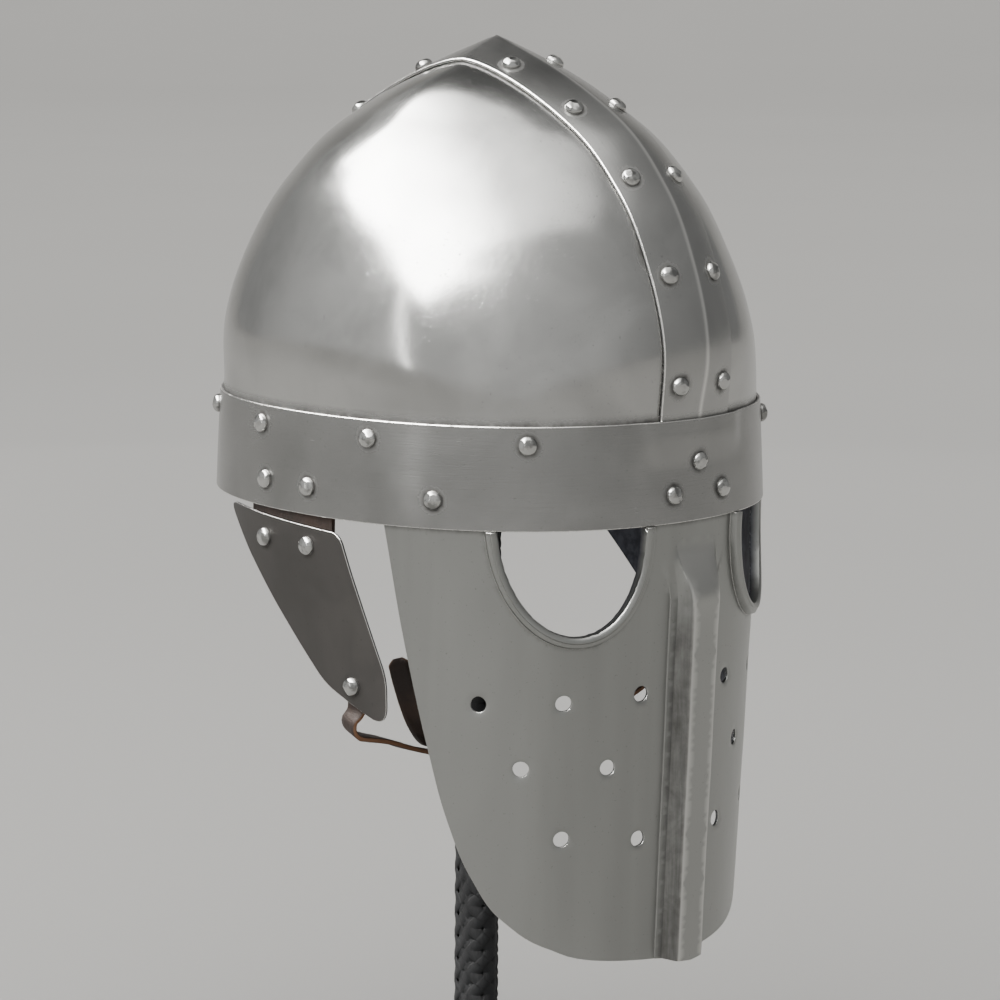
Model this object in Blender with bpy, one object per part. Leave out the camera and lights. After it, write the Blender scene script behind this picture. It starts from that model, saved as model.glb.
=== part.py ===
"""Norse iron helmet: a riveted two-part skull with crest, brow band, face plate and hung cheek plates.

It stands on a plain plaited post. Metres, +Z up, the face looks along -Y, and the floor is z = 0.
Helmet pieces are modelled about the middle of the brow band's upper edge and then set on the stand.
"""

import math

import bpy
import bmesh
import numpy as np
from mathutils import Vector
from mathutils.geometry import delaunay_2d_cdt

# Clearance between pieces that touch
GAP = 0.0003

# Oval of the brow band's outside at its upper edge, measured on the wearer
HALF_WIDTH = 0.1045
HALF_LENGTH = 0.1172
ROUNDNESS = 2.17
WRAP_RADIUS = (HALF_WIDTH + HALF_LENGTH) / 2

# Longest stretch of a bent sheet's outline before it is divided, and the least room round a point inside
SHEET_STEP = 0.012
SHEET_ROOM = 0.55

# Brow band
BROW_HEIGHT = 0.0415
BROW_FLARE = 0.0019
BROW_WALL = 0.0014

# Skull shells
SKULL_HEIGHT = 0.1453
SKULL_WALL = 0.0015
SKULL_LAP = 0.013
PEAK_FORWARD = 0.0035

# Crest band
CREST_HALF_WIDTH = 0.0204
CREST_WALL = 0.0012
CREST_FOLD = 0.0024
CREST_FOLD_AT_BROW = 0.0010
CREST_FOLD_START = 0.12
CREST_SEAT = 1.3 * GAP
CREST_LAP = 0.007
BULGE_RUN_OUT = 0.0055
BULGE_RIM = 0.0009
BULGE_SHOULDER = 0.0108

# Face plate
FACE_WALL = 0.0015
FACE_HALF_ARC = 0.1327
FACE_DROP = 0.184
FACE_LAP = 0.027
FACE_LEAN = 0.043
EYE_MIDDLE = 0.0564
EYE_NOSEWARD = 0.0028
EYE_HALF_WIDTH = 0.0289
EYE_DEPTH = 0.0433
EYE_TUCK = 0.0015
RIM_WIDTH = 0.0050
RIM_PROUD = 0.0036
RIDGE_HALF_WIDTH = 0.0075
RIDGE_SPLAY = 0.0017
RIDGE_FILLET = 0.0037
RIDGE_PROUD = 0.0085
RIDGE_FOOT_RISE = 0.08
RIDGE_START = 0.008
RIDGE_RUN_OUT = 0.025
BREATH_RADIUS = 0.00325

# Cheek plates on their leather
CHEEK_WALL = 0.0012
CHEEK_FRONT = 0.1318
CHEEK_ARC = 0.1015
CHEEK_TOP = 0.0015
CHEEK_LENGTH = 0.077
CHEEK_LEAN = 0.045
LEATHER_WALL = 0.0020
HINGE_HALF_ARC = 0.027
HINGE_LAP = 0.021
HINGE_DROP = 0.0205
HINGE_PLACE = 0.545
HINGE_RIVET_DROP = 0.0127
HINGE_CORNER = 0.003
HINGE_FOOT_CORNER = 0.004
HINGE_FOOT_BACK = 0.7
HINGE_FOOT_FRONT = 0.9

# Chin strap
STRAP_WIDTH = 0.009
STRAP_WALL = 0.0022
STRAP_SAG = 0.022
STRAP_TURN = 0.0065
STRAP_BACK = 0.021
STRAP_TAIL = 0.046
STRAP_STEP = 0.0065
SLIDE_WIRE = 0.0025
SLIDE_LENGTH = 0.007

# Rivets
RIVET_RADIUS = 0.0040
RIVET_HEIGHT = 0.0030
CREST_RIVET_OUT = 0.0130
BROW_RIVET_DROP = 0.0075
LOWER_RIVET_DROP = 0.0300
FACE_RIVET_SPREAD = 0.0138
FACE_RIVET_RISE = 0.0125
FACE_SIDE_RIVET = 57.2
HINGE_RIVET_SPREAD = 0.0141

# Stand
BROW_LEVEL = 0.320
POST_RADIUS = 0.010
POST_BACK = 0.005
BASE_RADIUS = 0.085
BASE_HEIGHT = 0.010
BASE_EDGE = 0.0015
CAP_RADIUS = 0.038
CAP_RISE = 0.016
CAP_NECK = 0.022
CAP_CROWN = 0.003
CAP_SLOPE = 1.22

# Cap of the stand between its neck and its widest ring: share of the radius, share of the neck's height
CAP_SECTION = ((0.55, 0.55), (0.92, 0.85), (1.00, 1.00))

# Skull sections: height share, length share, width share, roundness in front, roundness behind
SKULL_SECTIONS = (
    (0.000, 1.000, 1.000, 2.17, 2.17),
    (0.205, 1.018, 1.018, 1.92, 2.03),
    (0.411, 0.948, 0.950, 1.79, 1.93),
    (0.616, 0.808, 0.808, 1.70, 1.84),
    (0.788, 0.584, 0.596, 1.62, 1.77),
    (0.925, 0.250, 0.300, 1.57, 1.72),
    (1.000, 0.000, 0.000, 1.55, 1.70),
)

# Side edge of the face plate below the brow band: drop share, half arc share
FACE_EDGE = (
    (0.000, 1.000),
    (0.214, 0.946),
    (0.485, 0.860),
    (0.650, 0.795),
    (0.780, 0.715),
    (0.878, 0.610),
    (0.940, 0.470),
    (0.975, 0.310),
    (1.000, 0.000),
)

# Eye rim across its width: share of the width out from the opening, share of its height
RIM_SECTION = ((0.00, 0.78), (0.44, 1.00), (0.84, 0.70), (1.00, 0.00))

# Breath holes of one half: share of the half arc, share of the drop
BREATH_HOLES = (
    (0.190, 0.375),
    (0.440, 0.383),
    (0.695, 0.385),
    (0.296, 0.534),
    (0.565, 0.529),
    (0.181, 0.705),
    (0.437, 0.690),
)

# Cheek plate corners: share of the arc back from the front, share of the length down, corner radius
CHEEK_CORNERS = (
    (1.000, 0.000, 0.003),
    (0.225, 0.055, 0.008),
    (0.000, 0.800, 0.030),
    (0.000, 1.070, 0.0075),
    (0.323, 0.871, 0.035),
)

# Rivets up the crest: share of the way from the brow band to the peak, in front and behind
CREST_RIVETS = (
    (0.070, 0.070),
    (0.288, 0.285),
    (0.498, 0.475),
    (0.702, 0.645),
    (0.893, 0.850),
)

# Rivets of the brow row on one side: angle from the front, in degrees
BROW_RIVETS = (38.2, 72.6, 106.3, 139.5)

# Chin strap's rivet: angle from the front, in degrees, and share of the cheek plate's length down
STRAP_ANGLE = 77.1
STRAP_PLACE = 0.865

# Chin strap: run under the chin as shares of its half length, for each length, and the slide's place
SHORT_RUN = (0.88, 0.75, 0.62, 0.5, 0.38)
LONG_RUN = (0.88, 0.75, 0.5, 0.25, 0.0, -0.2, -0.38, -0.52)
SLIDE_PLACE = -0.45

# Chin strap: points of the standing tail as shares of its length, along and up
TAIL_CURVE = ((0.22, 0.12), (0.42, 0.50), (0.56, 0.90))

# Chin strap: ends above and below its rivet, in rivet radii
STRAP_ENDS = (1.6, -2.5)

# Chin strap: loose turn below the tip, in turn radii outwards, back and up
TURN_CURVE = ((0.35, 0.3, -0.8), (-0.2, 0.3, -1.7))

# Chin strap: direction of its width along each length, as share of the way, then across, along and up
SHORT_WIDTHS = ((0.0, -0.14, 1, 0), (0.2, -0.14, 1, 0), (0.32, 0.6, 0.8, 0), (0.55, 0, 1, 0), (1, 0, 1, 0))
LONG_WIDTHS = (
    (0.00, 0.14, 1, 0),
    (0.09, 0.14, 1, 0),
    (0.14, -0.5, 0.8, 0),
    (0.25, 0, 1, 0),
    (0.80, 0, 1, 0),
    (0.90, -0.6, 0.8, -0.2),
    (1.00, -0.62, 0.65, -0.43),
)


def curve_value(rows, column, at):
    """Reads a smooth curve through the rows of a table at a value of its first column."""
    xs = np.array([row[0] for row in rows])
    ys = np.array([row[column] for row in rows])
    at = min(max(at, xs[0]), xs[-1])
    steps = np.diff(xs)
    slopes = np.diff(ys) / steps
    tangents = np.empty(len(xs))
    tangents[0] = slopes[0]
    tangents[-1] = slopes[-1]
    tangents[1:-1] = (slopes[:-1] * steps[1:] + slopes[1:] * steps[:-1]) / (steps[:-1] + steps[1:])
    i = min(int(np.searchsorted(xs, at, side="right")) - 1, len(steps) - 1)
    t = (at - xs[i]) / steps[i]
    return float(
        ys[i] * (1 + 2 * t) * (1 - t) ** 2
        + steps[i] * tangents[i] * t * (1 - t) ** 2
        + ys[i + 1] * t * t * (3 - 2 * t)
        + steps[i] * tangents[i + 1] * t * t * (t - 1)
    )


def smooth_step(value):
    """Runs from 0 to 1 with level ends."""
    value = min(max(value, 0.0), 1.0)
    return value * value * (3 - 2 * value)


def oval(angle, half_x, half_y, power):
    """Gives the point and the outward normal of an oval at an angle from the front."""
    across = math.sin(angle)
    along = -math.cos(angle)
    reach = (abs(across / half_x) ** power + abs(along / half_y) ** power) ** (-1 / power)
    x = reach * across
    y = reach * along
    slope_x = math.copysign(abs(x / half_x) ** (power - 1) / half_x, x)
    slope_y = math.copysign(abs(y / half_y) ** (power - 1) / half_y, y)
    size = math.hypot(slope_x, slope_y)
    return Vector((x, y, 0)), Vector((slope_x / size, slope_y / size, 0))


def wrapped(arc, z, offset, lift=0.0):
    """Bends a flat pattern point round the brow oval, offset outwards, and lifts it along the normal."""
    point, normal = oval(arc / WRAP_RADIUS, HALF_WIDTH + offset, HALF_LENGTH + offset, ROUNDNESS)
    point += normal * lift
    return Vector((point.x, point.y, z)), normal


def brow_offset(z):
    """Outside of the brow band beyond its upper oval."""
    return BROW_FLARE * -z / BROW_HEIGHT


def under_brow(z):
    """Outside of a piece that lies against the inside of the brow band."""
    return brow_offset(max(z, -BROW_HEIGHT)) - BROW_WALL - GAP


def add_object(name, verts, faces, color, roughness, metallic, on_stand=False):
    """Makes a closed mesh object with its own material, set on the stand unless it belongs to it."""
    mesh = bpy.data.meshes.new(name)
    mesh.from_pydata([tuple(v) for v in verts], [], faces)
    mesh.validate()
    work = bmesh.new()
    work.from_mesh(mesh)
    bmesh.ops.recalc_face_normals(work, faces=work.faces)
    work.to_mesh(mesh)
    work.free()
    mesh.shade_smooth()
    mesh.set_sharp_from_angle(angle=math.radians(35))
    obj = bpy.data.objects.new(name, mesh)
    bpy.context.scene.collection.objects.link(obj)
    if not on_stand:
        obj.location = (0, helmet_back(), BROW_LEVEL)
    material = bpy.data.materials.new(name)
    material.use_nodes = True
    shader = material.node_tree.nodes["Principled BSDF"]
    shader.inputs["Base Color"].default_value = (*color, 1)
    shader.inputs["Roughness"].default_value = roughness
    shader.inputs["Metallic"].default_value = metallic
    obj.data.materials.append(material)
    return obj


def add_steel(name, verts, faces, shade=0.55):
    """Polished iron, a little darker where shade is lower."""
    return add_object(name, verts, faces, (shade, shade, shade * 0.97), 0.3, 1.0)


def add_leather(name, verts, faces):
    """Dark brown leather."""
    return add_object(name, verts, faces, (0.07, 0.035, 0.02), 0.6, 0.0)


def ring_loft(rings, closed_path=False):
    """Joins rings of equal point count into faces, with caps unless the path closes."""
    count = len(rings[0])
    verts = [point for ring in rings for point in ring]
    faces = []
    spans = len(rings) if closed_path else len(rings) - 1
    for i in range(spans):
        j = (i + 1) % len(rings)
        for k in range(count):
            m = (k + 1) % count
            faces.append((i * count + k, i * count + m, j * count + m, j * count + k))
    if not closed_path:
        faces.append(tuple(range(count)))
        faces.append(tuple((len(rings) - 1) * count + k for k in range(count)))
    return verts, faces


# Skull


def skull_section(z):
    """Half sizes, roundness in front and behind, and forward shift of the skull's outside at a height."""
    share = max(z / SKULL_HEIGHT, 0.0)
    inset = BROW_WALL + GAP
    half_x = (HALF_WIDTH - inset) * curve_value(SKULL_SECTIONS, 2, share)
    half_y = (HALF_LENGTH - inset) * curve_value(SKULL_SECTIONS, 1, share)
    front = curve_value(SKULL_SECTIONS, 3, share)
    rear = curve_value(SKULL_SECTIONS, 4, share)
    return half_x, half_y, front, rear, -PEAK_FORWARD * share * share


def skull_point(angle, z):
    """Point of the skull's outside at an angle from the front and a height."""
    half_x, half_y, front, rear, shift = skull_section(z)
    point, _ = oval(angle, half_x, half_y, front if math.cos(angle) > 0 else rear)
    return Vector((point.x, point.y + shift, z))


def skull_measure(point):
    """Below zero inside the skull's outer surface, above zero outside it."""
    z = min(point.z, SKULL_HEIGHT)
    half_x, half_y, front, rear, shift = skull_section(z)
    y = point.y - shift
    power = front if y < 0 else rear
    if half_x < 1e-6:
        return math.hypot(point.x, y) + max(point.z - SKULL_HEIGHT, 0)
    reach = (abs(point.x / half_x) ** power + abs(y / half_y) ** power) ** (1 / power)
    return (reach - 1) * half_x + max(point.z - SKULL_HEIGHT, 0)


def skull_normal(angle, z):
    """Outward normal of the skull's outside."""
    step = 0.0004
    turn = 0.01
    low = max(z - step, -SKULL_LAP)
    high = min(z + step, SKULL_HEIGHT * 0.999)
    up = skull_point(angle, high) - skull_point(angle, low)
    round_way = skull_point(angle + turn, z) - skull_point(angle - turn, z)
    return round_way.cross(up).normalized()


def skull_heights(count):
    """Heights of the skull's rings, closer together towards the peak."""
    heights = [SKULL_HEIGHT * math.sin(math.pi / 2 * i / count) for i in range(count)]
    return [-SKULL_LAP] + heights


def build_bowl(name, side):
    """One half shell of the skull, closed along the middle plane."""
    segments = 20
    heights = skull_heights(11)
    outer = []
    inner = []
    for z in heights:
        for k in range(segments + 1):
            angle = math.pi * k / segments
            point = skull_point(angle, z)
            normal = skull_normal(angle, z)
            if k in (0, segments):
                normal.x = 0
                normal.normalize()
            outer.append(point)
            inner.append(point - normal * SKULL_WALL)
    peak = Vector((0, -PEAK_FORWARD, SKULL_HEIGHT))
    slope = skull_normal(0, SKULL_HEIGHT * 0.99).z
    outer.append(peak)
    inner.append(peak - Vector((0, 0, SKULL_WALL / slope)))
    row = segments + 1
    top = len(heights) - 1
    apex = len(outer) - 1
    skin = []
    for i in range(top):
        for k in range(segments):
            a = i * row + k
            skin.append((a, a + 1, a + row + 1, a + row))
    for k in range(segments):
        skin.append((top * row + k, top * row + k + 1, apex))
    rim = list(range(row))
    rim += [i * row + segments for i in range(1, top + 1)]
    rim += [apex]
    rim += [i * row for i in range(top, 0, -1)]
    shift = len(outer)
    faces = skin + [tuple(v + shift for v in reversed(face)) for face in skin]
    for a, b in zip(rim, rim[1:] + rim[:1]):
        faces.append((b, a, a + shift, b + shift))
    verts = []
    for point in outer + inner:
        verts.append(Vector((side * (point.x + GAP / 2), point.y, point.z)))
    return add_steel(name, verts, faces)


# Crest band


def crest_path(count):
    """Stations over the skull in the middle plane: point, outward normal, share of the way to the peak."""
    samples = [SKULL_HEIGHT * math.sin(math.pi / 2 * i / 400) for i in range(400)]
    stations = []
    for angle in (0.0, math.pi):
        line = [skull_point(angle, -CREST_LAP)] + [skull_point(angle, z) for z in samples]
        line.append(Vector((0, -PEAK_FORWARD, SKULL_HEIGHT)))
        lengths = [0.0]
        for a, b in zip(line, line[1:]):
            lengths.append(lengths[-1] + (b - a).length)
        half = []
        for i in range(count):
            at = lengths[-1] * i / count
            j = int(np.searchsorted(lengths, at, side="right")) - 1
            part = (at - lengths[j]) / (lengths[j + 1] - lengths[j])
            point = line[j].lerp(line[j + 1], part)
            along = (line[j + 1] - line[j]).normalized()
            normal = Vector((0, -along.z, along.y)) if angle == 0 else Vector((0, along.z, -along.y))
            half.append((point, normal, crest_share(at, lengths)))
        stations.append(half)
    peak = (Vector((0, -PEAK_FORWARD, SKULL_HEIGHT)), Vector((0, 0, 1)), 1.0)
    return stations[0] + [peak] + stations[1][::-1]


def crest_share(at, lengths):
    """Share of the way from the brow band's edge to the peak, below zero under the band."""
    under = lengths[1]
    return (at - under) / (lengths[-1] - under)


def on_skull(point, normal, across):
    """Drops a point that stands beside the middle plane onto the skull, along a station's normal."""
    start = point + Vector((across, 0, 0))
    low = -0.06
    high = 0.01
    for _ in range(40):
        middle = (low + high) / 2
        if skull_measure(start + normal * middle) > 0:
            high = middle
        else:
            low = middle
    return start + normal * high


def crest_fold(across, share):
    """Height of the fold along the crest's middle."""
    height = CREST_FOLD_AT_BROW + (CREST_FOLD - CREST_FOLD_AT_BROW) * smooth_step(share / CREST_FOLD_START)
    return height * (1 - abs(across) / CREST_HALF_WIDTH)


def build_crest():
    """The strap of iron over the join, folded along its middle."""
    shares = (-1.0, -0.5, 0.0, 0.5, 1.0)
    rings = []
    for point, normal, share in crest_path(20):
        outer = []
        inner = []
        for part in shares:
            across = part * CREST_HALF_WIDTH
            foot = on_skull(point, normal, across)
            lift = CREST_SEAT + crest_fold(across, share)
            inner.append(foot + normal * lift)
            outer.append(foot + normal * (lift + CREST_WALL))
        rings.append(outer + inner[::-1])
    verts, faces = ring_loft(rings)
    return add_steel("crest_band", verts, faces)


# Brow band


def brow_bulge(x, z):
    """How far the brow band is hammered out over the crest's ends."""
    edge = CREST_HALF_WIDTH
    width = 1 - smooth_step((abs(x) - edge - BULGE_RIM) / BULGE_SHOULDER)
    fade = min(max(1 + (z + CREST_LAP + GAP) / BULGE_RUN_OUT, 0.0), 1.0)
    fold = CREST_FOLD_AT_BROW * max(0.0, 1 - abs(x) / edge)
    return (width * (CREST_SEAT + CREST_WALL + GAP / 3) + fold) * fade


def brow_skin(angle, z, depth=0.0):
    """A place on the brow band's outside, or a depth in from it."""
    base, normal = wrapped(angle * WRAP_RADIUS, z, brow_offset(z))
    return base + normal * (brow_bulge(base.x, z) - depth)


def brow_angles(count):
    """Even angles round the band, with more where it climbs over the crest."""
    fine = [math.radians(a) for a in (0, 4, 8, 11.5, 14, 17)]
    half = fine + [math.radians(17 + (163 - 17) * i / count) for i in range(1, count)]
    half += [math.pi - a for a in reversed(fine)]
    return half + [-a for a in half[-2:0:-1]]


def build_brow():
    """The flared hoop that holds the skull, crest and face plate together."""
    bulge_end = -CREST_LAP - GAP
    heights = (0.0, bulge_end, bulge_end - BULGE_RUN_OUT, -BROW_HEIGHT)
    rings = []
    for angle in brow_angles(24):
        outer = [brow_skin(angle, z) for z in heights]
        inner = [brow_skin(angle, z, BROW_WALL) for z in heights]
        rings.append(outer + inner[::-1])
    verts, faces = ring_loft(rings, closed_path=True)
    return add_steel("brow_band", verts, faces, 0.5)


# Sheets cut flat and bent round the helmet


def inside(loop, x, y):
    """True where a point lies inside a closed loop."""
    hit = False
    for (ax, ay), (bx, by) in zip(loop, loop[1:] + loop[:1]):
        if (ay > y) != (by > y) and x < (bx - ax) * (y - ay) / (by - ay) + ax:
            hit = not hit
    return hit


def spaced(points, across, down):
    """Adds points along a line so that no stretch is longer than a step across or down the sheet."""
    result = [points[0]]
    for a, b in zip(points, points[1:]):
        parts = max(1, math.ceil(max(abs(a[0] - b[0]) / across, abs(a[1] - b[1]) / down) - 1e-6))
        for i in range(1, parts + 1):
            result.append((a[0] + (b[0] - a[0]) * i / parts, a[1] + (b[1] - a[1]) * i / parts))
    return result


def rounded(corners, steps=4):
    """A closed outline through corners, each with its own radius."""
    loop = []
    for i, (x, y, radius) in enumerate(corners):
        here = Vector((x, y))
        back = Vector(corners[i - 1][:2]) - here
        ahead = Vector(corners[(i + 1) % len(corners)][:2]) - here
        turn = back.angle(ahead)
        cut = min(radius / math.tan(turn / 2), 0.45 * back.length, 0.45 * ahead.length)
        start = here + back.normalized() * cut
        end = here + ahead.normalized() * cut
        for k in range(steps + 1):
            t = k / steps
            point = start * (1 - t) ** 2 + here * 2 * t * (1 - t) + end * t * t
            loop.append((point.x, point.y))
    return loop


def cut_sheet(outline, holes, guides, across, down):
    """Fills a flat pattern with triangles that keep its outline, its holes and its guide lines."""
    points = []
    edges = []
    lines = [loop + loop[:1] for loop in [outline] + holes] + guides
    for line in lines:
        start = len(points)
        points += line
        edges += [(start + i, start + i + 1) for i in range(len(line) - 1)]
    fixed = np.array(points)
    low = fixed.min(axis=0)
    high = fixed.max(axis=0)
    columns = max(2, round((high[0] - low[0]) / across))
    rows = max(2, round((high[1] - low[1]) / down))
    for i in range(1, columns):
        for j in range(1, rows):
            x = low[0] + (high[0] - low[0]) * i / columns
            y = low[1] + (high[1] - low[1]) * j / rows
            if np.hypot((fixed[:, 0] - x) / across, (fixed[:, 1] - y) / down).min() > SHEET_ROOM:
                points.append((x, y))
    flat, _, faces, _, _, _ = delaunay_2d_cdt([Vector(p) for p in points], edges, [], 0, 1e-7)
    kept = []
    for face in faces:
        x = sum(flat[i].x for i in face) / len(face)
        y = sum(flat[i].y for i in face) / len(face)
        if inside(outline, x, y) and not any(inside(hole, x, y) for hole in holes):
            kept.append(face)
    used = sorted({i for face in kept for i in face})
    order = {old: new for new, old in enumerate(used)}
    return [(flat[i].x, flat[i].y) for i in used], [tuple(order[i] for i in face) for face in kept]


def bent_sheet(flat, faces, outer, inner):
    """Gives a cut sheet its two faces and the walls along its edges."""
    count = len(flat)
    verts = [outer(x, z) for x, z in flat] + [inner(x, z) for x, z in flat]
    border = {}
    for face in faces:
        for a, b in zip(face, face[1:] + face[:1]):
            if (b, a) in border:
                del border[(b, a)]
            else:
                border[(a, b)] = True
    solid = list(faces) + [tuple(i + count for i in reversed(face)) for face in faces]
    for a, b in border:
        solid.append((b, a, a + count, b + count))
    return verts, solid


# Face plate


def face_offset(z):
    """Outside of the face plate: against the brow band, then leaning back below it."""
    return under_brow(z) - FACE_LEAN * max(0.0, -z - BROW_HEIGHT)


def face_outline():
    """The plate's edge in the flat: a straight top, sides that draw in, and a level foot."""
    side = []
    for i in range(21):
        drop = math.sin(math.pi / 2 * i / 20)
        arc = curve_value(FACE_EDGE, 1, drop) * FACE_HALF_ARC
        side.append((arc, -BROW_HEIGHT - drop * FACE_DROP))
    side[-1] = (0.0, -BROW_HEIGHT - FACE_DROP)
    top = [(FACE_HALF_ARC, -BROW_HEIGHT + FACE_LAP)]
    right_half = spaced([(0.0, top[0][1])] + top + side[:1], SHEET_STEP, SHEET_STEP)[1:] + side[1:]
    left_half = [(-arc, z) for arc, z in right_half[-2::-1]]
    return right_half + left_half + [(0.0, top[0][1])]


def eye_line(grow, side, steps=22):
    """The eye opening's edge, or a line that runs outside it by a distance."""
    top = -BROW_HEIGHT + EYE_TUCK
    line = []
    for k in range(steps + 1):
        turn = math.pi * k / steps
        drop = math.sin(turn) * (EYE_DEPTH + grow)
        middle = EYE_MIDDLE - EYE_NOSEWARD * drop / EYE_DEPTH
        arc = middle + math.cos(turn) * (EYE_HALF_WIDTH + grow)
        line.append((side * arc, -BROW_HEIGHT - drop))
    return [(line[0][0], top)] + line + [(line[-1][0], top)]


def eye_distance(arc, z):
    """How far a pattern point lies outside the eye opening on its side."""
    arc = abs(arc)
    drop = max(0.0, -z - BROW_HEIGHT)
    across = arc - (EYE_MIDDLE - EYE_NOSEWARD * drop / EYE_DEPTH)
    low = -EYE_HALF_WIDTH * 0.9
    high = 0.2
    for _ in range(40):
        grow = (low + high) / 2
        reach = (across / (EYE_HALF_WIDTH + grow)) ** 2 + (drop / (EYE_DEPTH + grow)) ** 2
        if reach > 1:
            low = grow
        else:
            high = grow
    return high


def rim_lift(arc, z):
    """Height of the rim round the eye, cut off level just under the brow band."""
    share = eye_distance(arc, z) / RIM_WIDTH
    if share >= 1:
        return 0.0
    xs = [row[0] for row in RIM_SECTION]
    ys = [row[1] for row in RIM_SECTION]
    below = min(max((-z - BROW_HEIGHT) / GAP, 0.0), 1.0)
    return float(np.interp(share, xs, ys)) * RIM_PROUD * below


def ridge_lift(arc, z, drawn_in):
    """Height of the nasal ridge, on the outside or, drawn in by the wall, on the inside."""
    depth = -z - BROW_HEIGHT - RIDGE_START
    top = RIDGE_HALF_WIDTH - drawn_in
    foot = top + RIDGE_SPLAY
    xs = [top, foot, foot + RIDGE_FILLET]
    ys = [1.0, RIDGE_FOOT_RISE, 0.0]
    return float(np.interp(abs(arc), xs, ys)) * RIDGE_PROUD * smooth_step(depth / RIDGE_RUN_OUT)


def build_face_plate():
    """One plate for the whole face, with rimmed eyes, a boxed nasal ridge and breath holes."""
    holes = []
    guides = []
    for side in (-1, 1):
        holes.append(eye_line(0.0, side))
        for share, _ in RIM_SECTION[1:]:
            guides.append(eye_line(share * RIM_WIDTH, side))
        for level in (-BROW_HEIGHT, -BROW_HEIGHT - GAP):
            for edge in (-1, 1):
                start = EYE_MIDDLE + edge * EYE_HALF_WIDTH
                guides.append([(side * start, level), (side * (start + edge * RIM_WIDTH), level)])
        for share, drop in BREATH_HOLES:
            middle = (side * share * FACE_HALF_ARC, -BROW_HEIGHT - drop * FACE_DROP)
            holes.append(
                [
                    (middle[0] + BREATH_RADIUS * math.cos(a), middle[1] + BREATH_RADIUS * math.sin(a))
                    for a in [2 * math.pi * k / 10 for k in range(10)]
                ]
            )
        top = -BROW_HEIGHT - RIDGE_START
        foot = -BROW_HEIGHT - FACE_DROP * 1.02
        for drawn_in in (FACE_WALL, 0.0):
            for extra in (0.0, RIDGE_SPLAY, RIDGE_SPLAY + RIDGE_FILLET):
                arc = side * (RIDGE_HALF_WIDTH - drawn_in + extra)
                if drawn_in and extra > RIDGE_SPLAY:
                    continue
                bend = top - RIDGE_RUN_OUT
                guides.append(spaced([(arc, top), (arc, bend)], SHEET_STEP, RIDGE_RUN_OUT / 4))
                guides.append(spaced([(arc, bend), (arc, foot)], SHEET_STEP, 2 * SHEET_STEP))
    flat, faces = cut_sheet(face_outline(), holes, guides, 1.3 * SHEET_STEP, 1.6 * SHEET_STEP)

    def outer(arc, z):
        lift = rim_lift(arc, z) + ridge_lift(arc, z, 0.0)
        return wrapped(arc, z, face_offset(z), lift)[0]

    def inner(arc, z):
        lift = ridge_lift(arc, z, FACE_WALL) - FACE_WALL
        return wrapped(arc, z, face_offset(z), lift)[0]

    verts, solid = bent_sheet(flat, faces, outer, inner)
    return add_steel("face_plate", verts, solid)


# Cheek plates and their leather


def cheek_offset(z):
    """Inside of the cheek plate, which leans in a little below the leather."""
    below = max(0.0, -z - BROW_HEIGHT - HINGE_DROP)
    return under_brow(-BROW_HEIGHT) + GAP - CHEEK_LEAN * below


def cheek_point(share_back, share_down):
    """Place in the flat pattern from the cheek plate's own shares."""
    return CHEEK_FRONT + share_back * CHEEK_ARC, -BROW_HEIGHT - CHEEK_TOP - share_down * CHEEK_LENGTH


def hinge_middle():
    """Arc of the middle of the hinge leather, between the plate's upper rivets."""
    return CHEEK_FRONT + HINGE_PLACE * CHEEK_ARC


def build_cheek_plate(name, side):
    """A hung plate that narrows to a rounded tip."""
    corners = [(*cheek_point(back, down), radius) for back, down, radius in CHEEK_CORNERS]
    loop = rounded(corners)
    outline = spaced(loop + loop[:1], 0.8 * SHEET_STEP, 3 * SHEET_STEP)[:-1]
    bend = -BROW_HEIGHT - HINGE_DROP
    crease = spaced([(CHEEK_FRONT, bend), (CHEEK_FRONT + CHEEK_ARC, bend)], 0.8 * SHEET_STEP, SHEET_STEP)
    flat, faces = cut_sheet(outline, [], [crease], 0.8 * SHEET_STEP, 2 * SHEET_STEP)

    def outer(arc, z):
        return wrapped(side * arc, z, cheek_offset(z) + CHEEK_WALL)[0]

    def inner(arc, z):
        return wrapped(side * arc, z, cheek_offset(z))[0]

    verts, solid = bent_sheet(flat, faces, outer, inner)
    return add_steel(name, verts, solid, 0.4)


def build_hinge(name, side):
    """Leather behind the cheek plate, riveted to the brow band's inside."""
    middle = hinge_middle()
    top = -BROW_HEIGHT + HINGE_LAP
    foot = -BROW_HEIGHT - HINGE_DROP
    knee = (foot - BROW_HEIGHT) / 2
    corners = (
        (middle - HINGE_HALF_ARC, top, HINGE_CORNER),
        (middle + HINGE_HALF_ARC, top, HINGE_CORNER),
        (middle + HINGE_HALF_ARC, knee, HINGE_FOOT_CORNER),
        (middle + HINGE_HALF_ARC * HINGE_FOOT_BACK, foot, HINGE_FOOT_CORNER),
        (middle - HINGE_HALF_ARC * HINGE_FOOT_FRONT, foot, HINGE_FOOT_CORNER),
        (middle - HINGE_HALF_ARC, knee, HINGE_FOOT_CORNER),
    )
    loop = rounded(corners, 2)
    outline = spaced(loop + loop[:1], 0.8 * SHEET_STEP, 3 * SHEET_STEP)[:-1]
    ends = [(middle - HINGE_HALF_ARC, -BROW_HEIGHT), (middle + HINGE_HALF_ARC, -BROW_HEIGHT)]
    crease = spaced(ends, 0.8 * SHEET_STEP, SHEET_STEP)
    flat, faces = cut_sheet(outline, [], [crease], 0.8 * SHEET_STEP, 2 * SHEET_STEP)

    def outer(arc, z):
        return wrapped(side * arc, z, under_brow(z))[0]

    def inner(arc, z):
        return wrapped(side * arc, z, under_brow(z) - LEATHER_WALL)[0]

    verts, solid = bent_sheet(flat, faces, outer, inner)
    return add_leather(name, verts, solid)


# Chin strap


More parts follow.
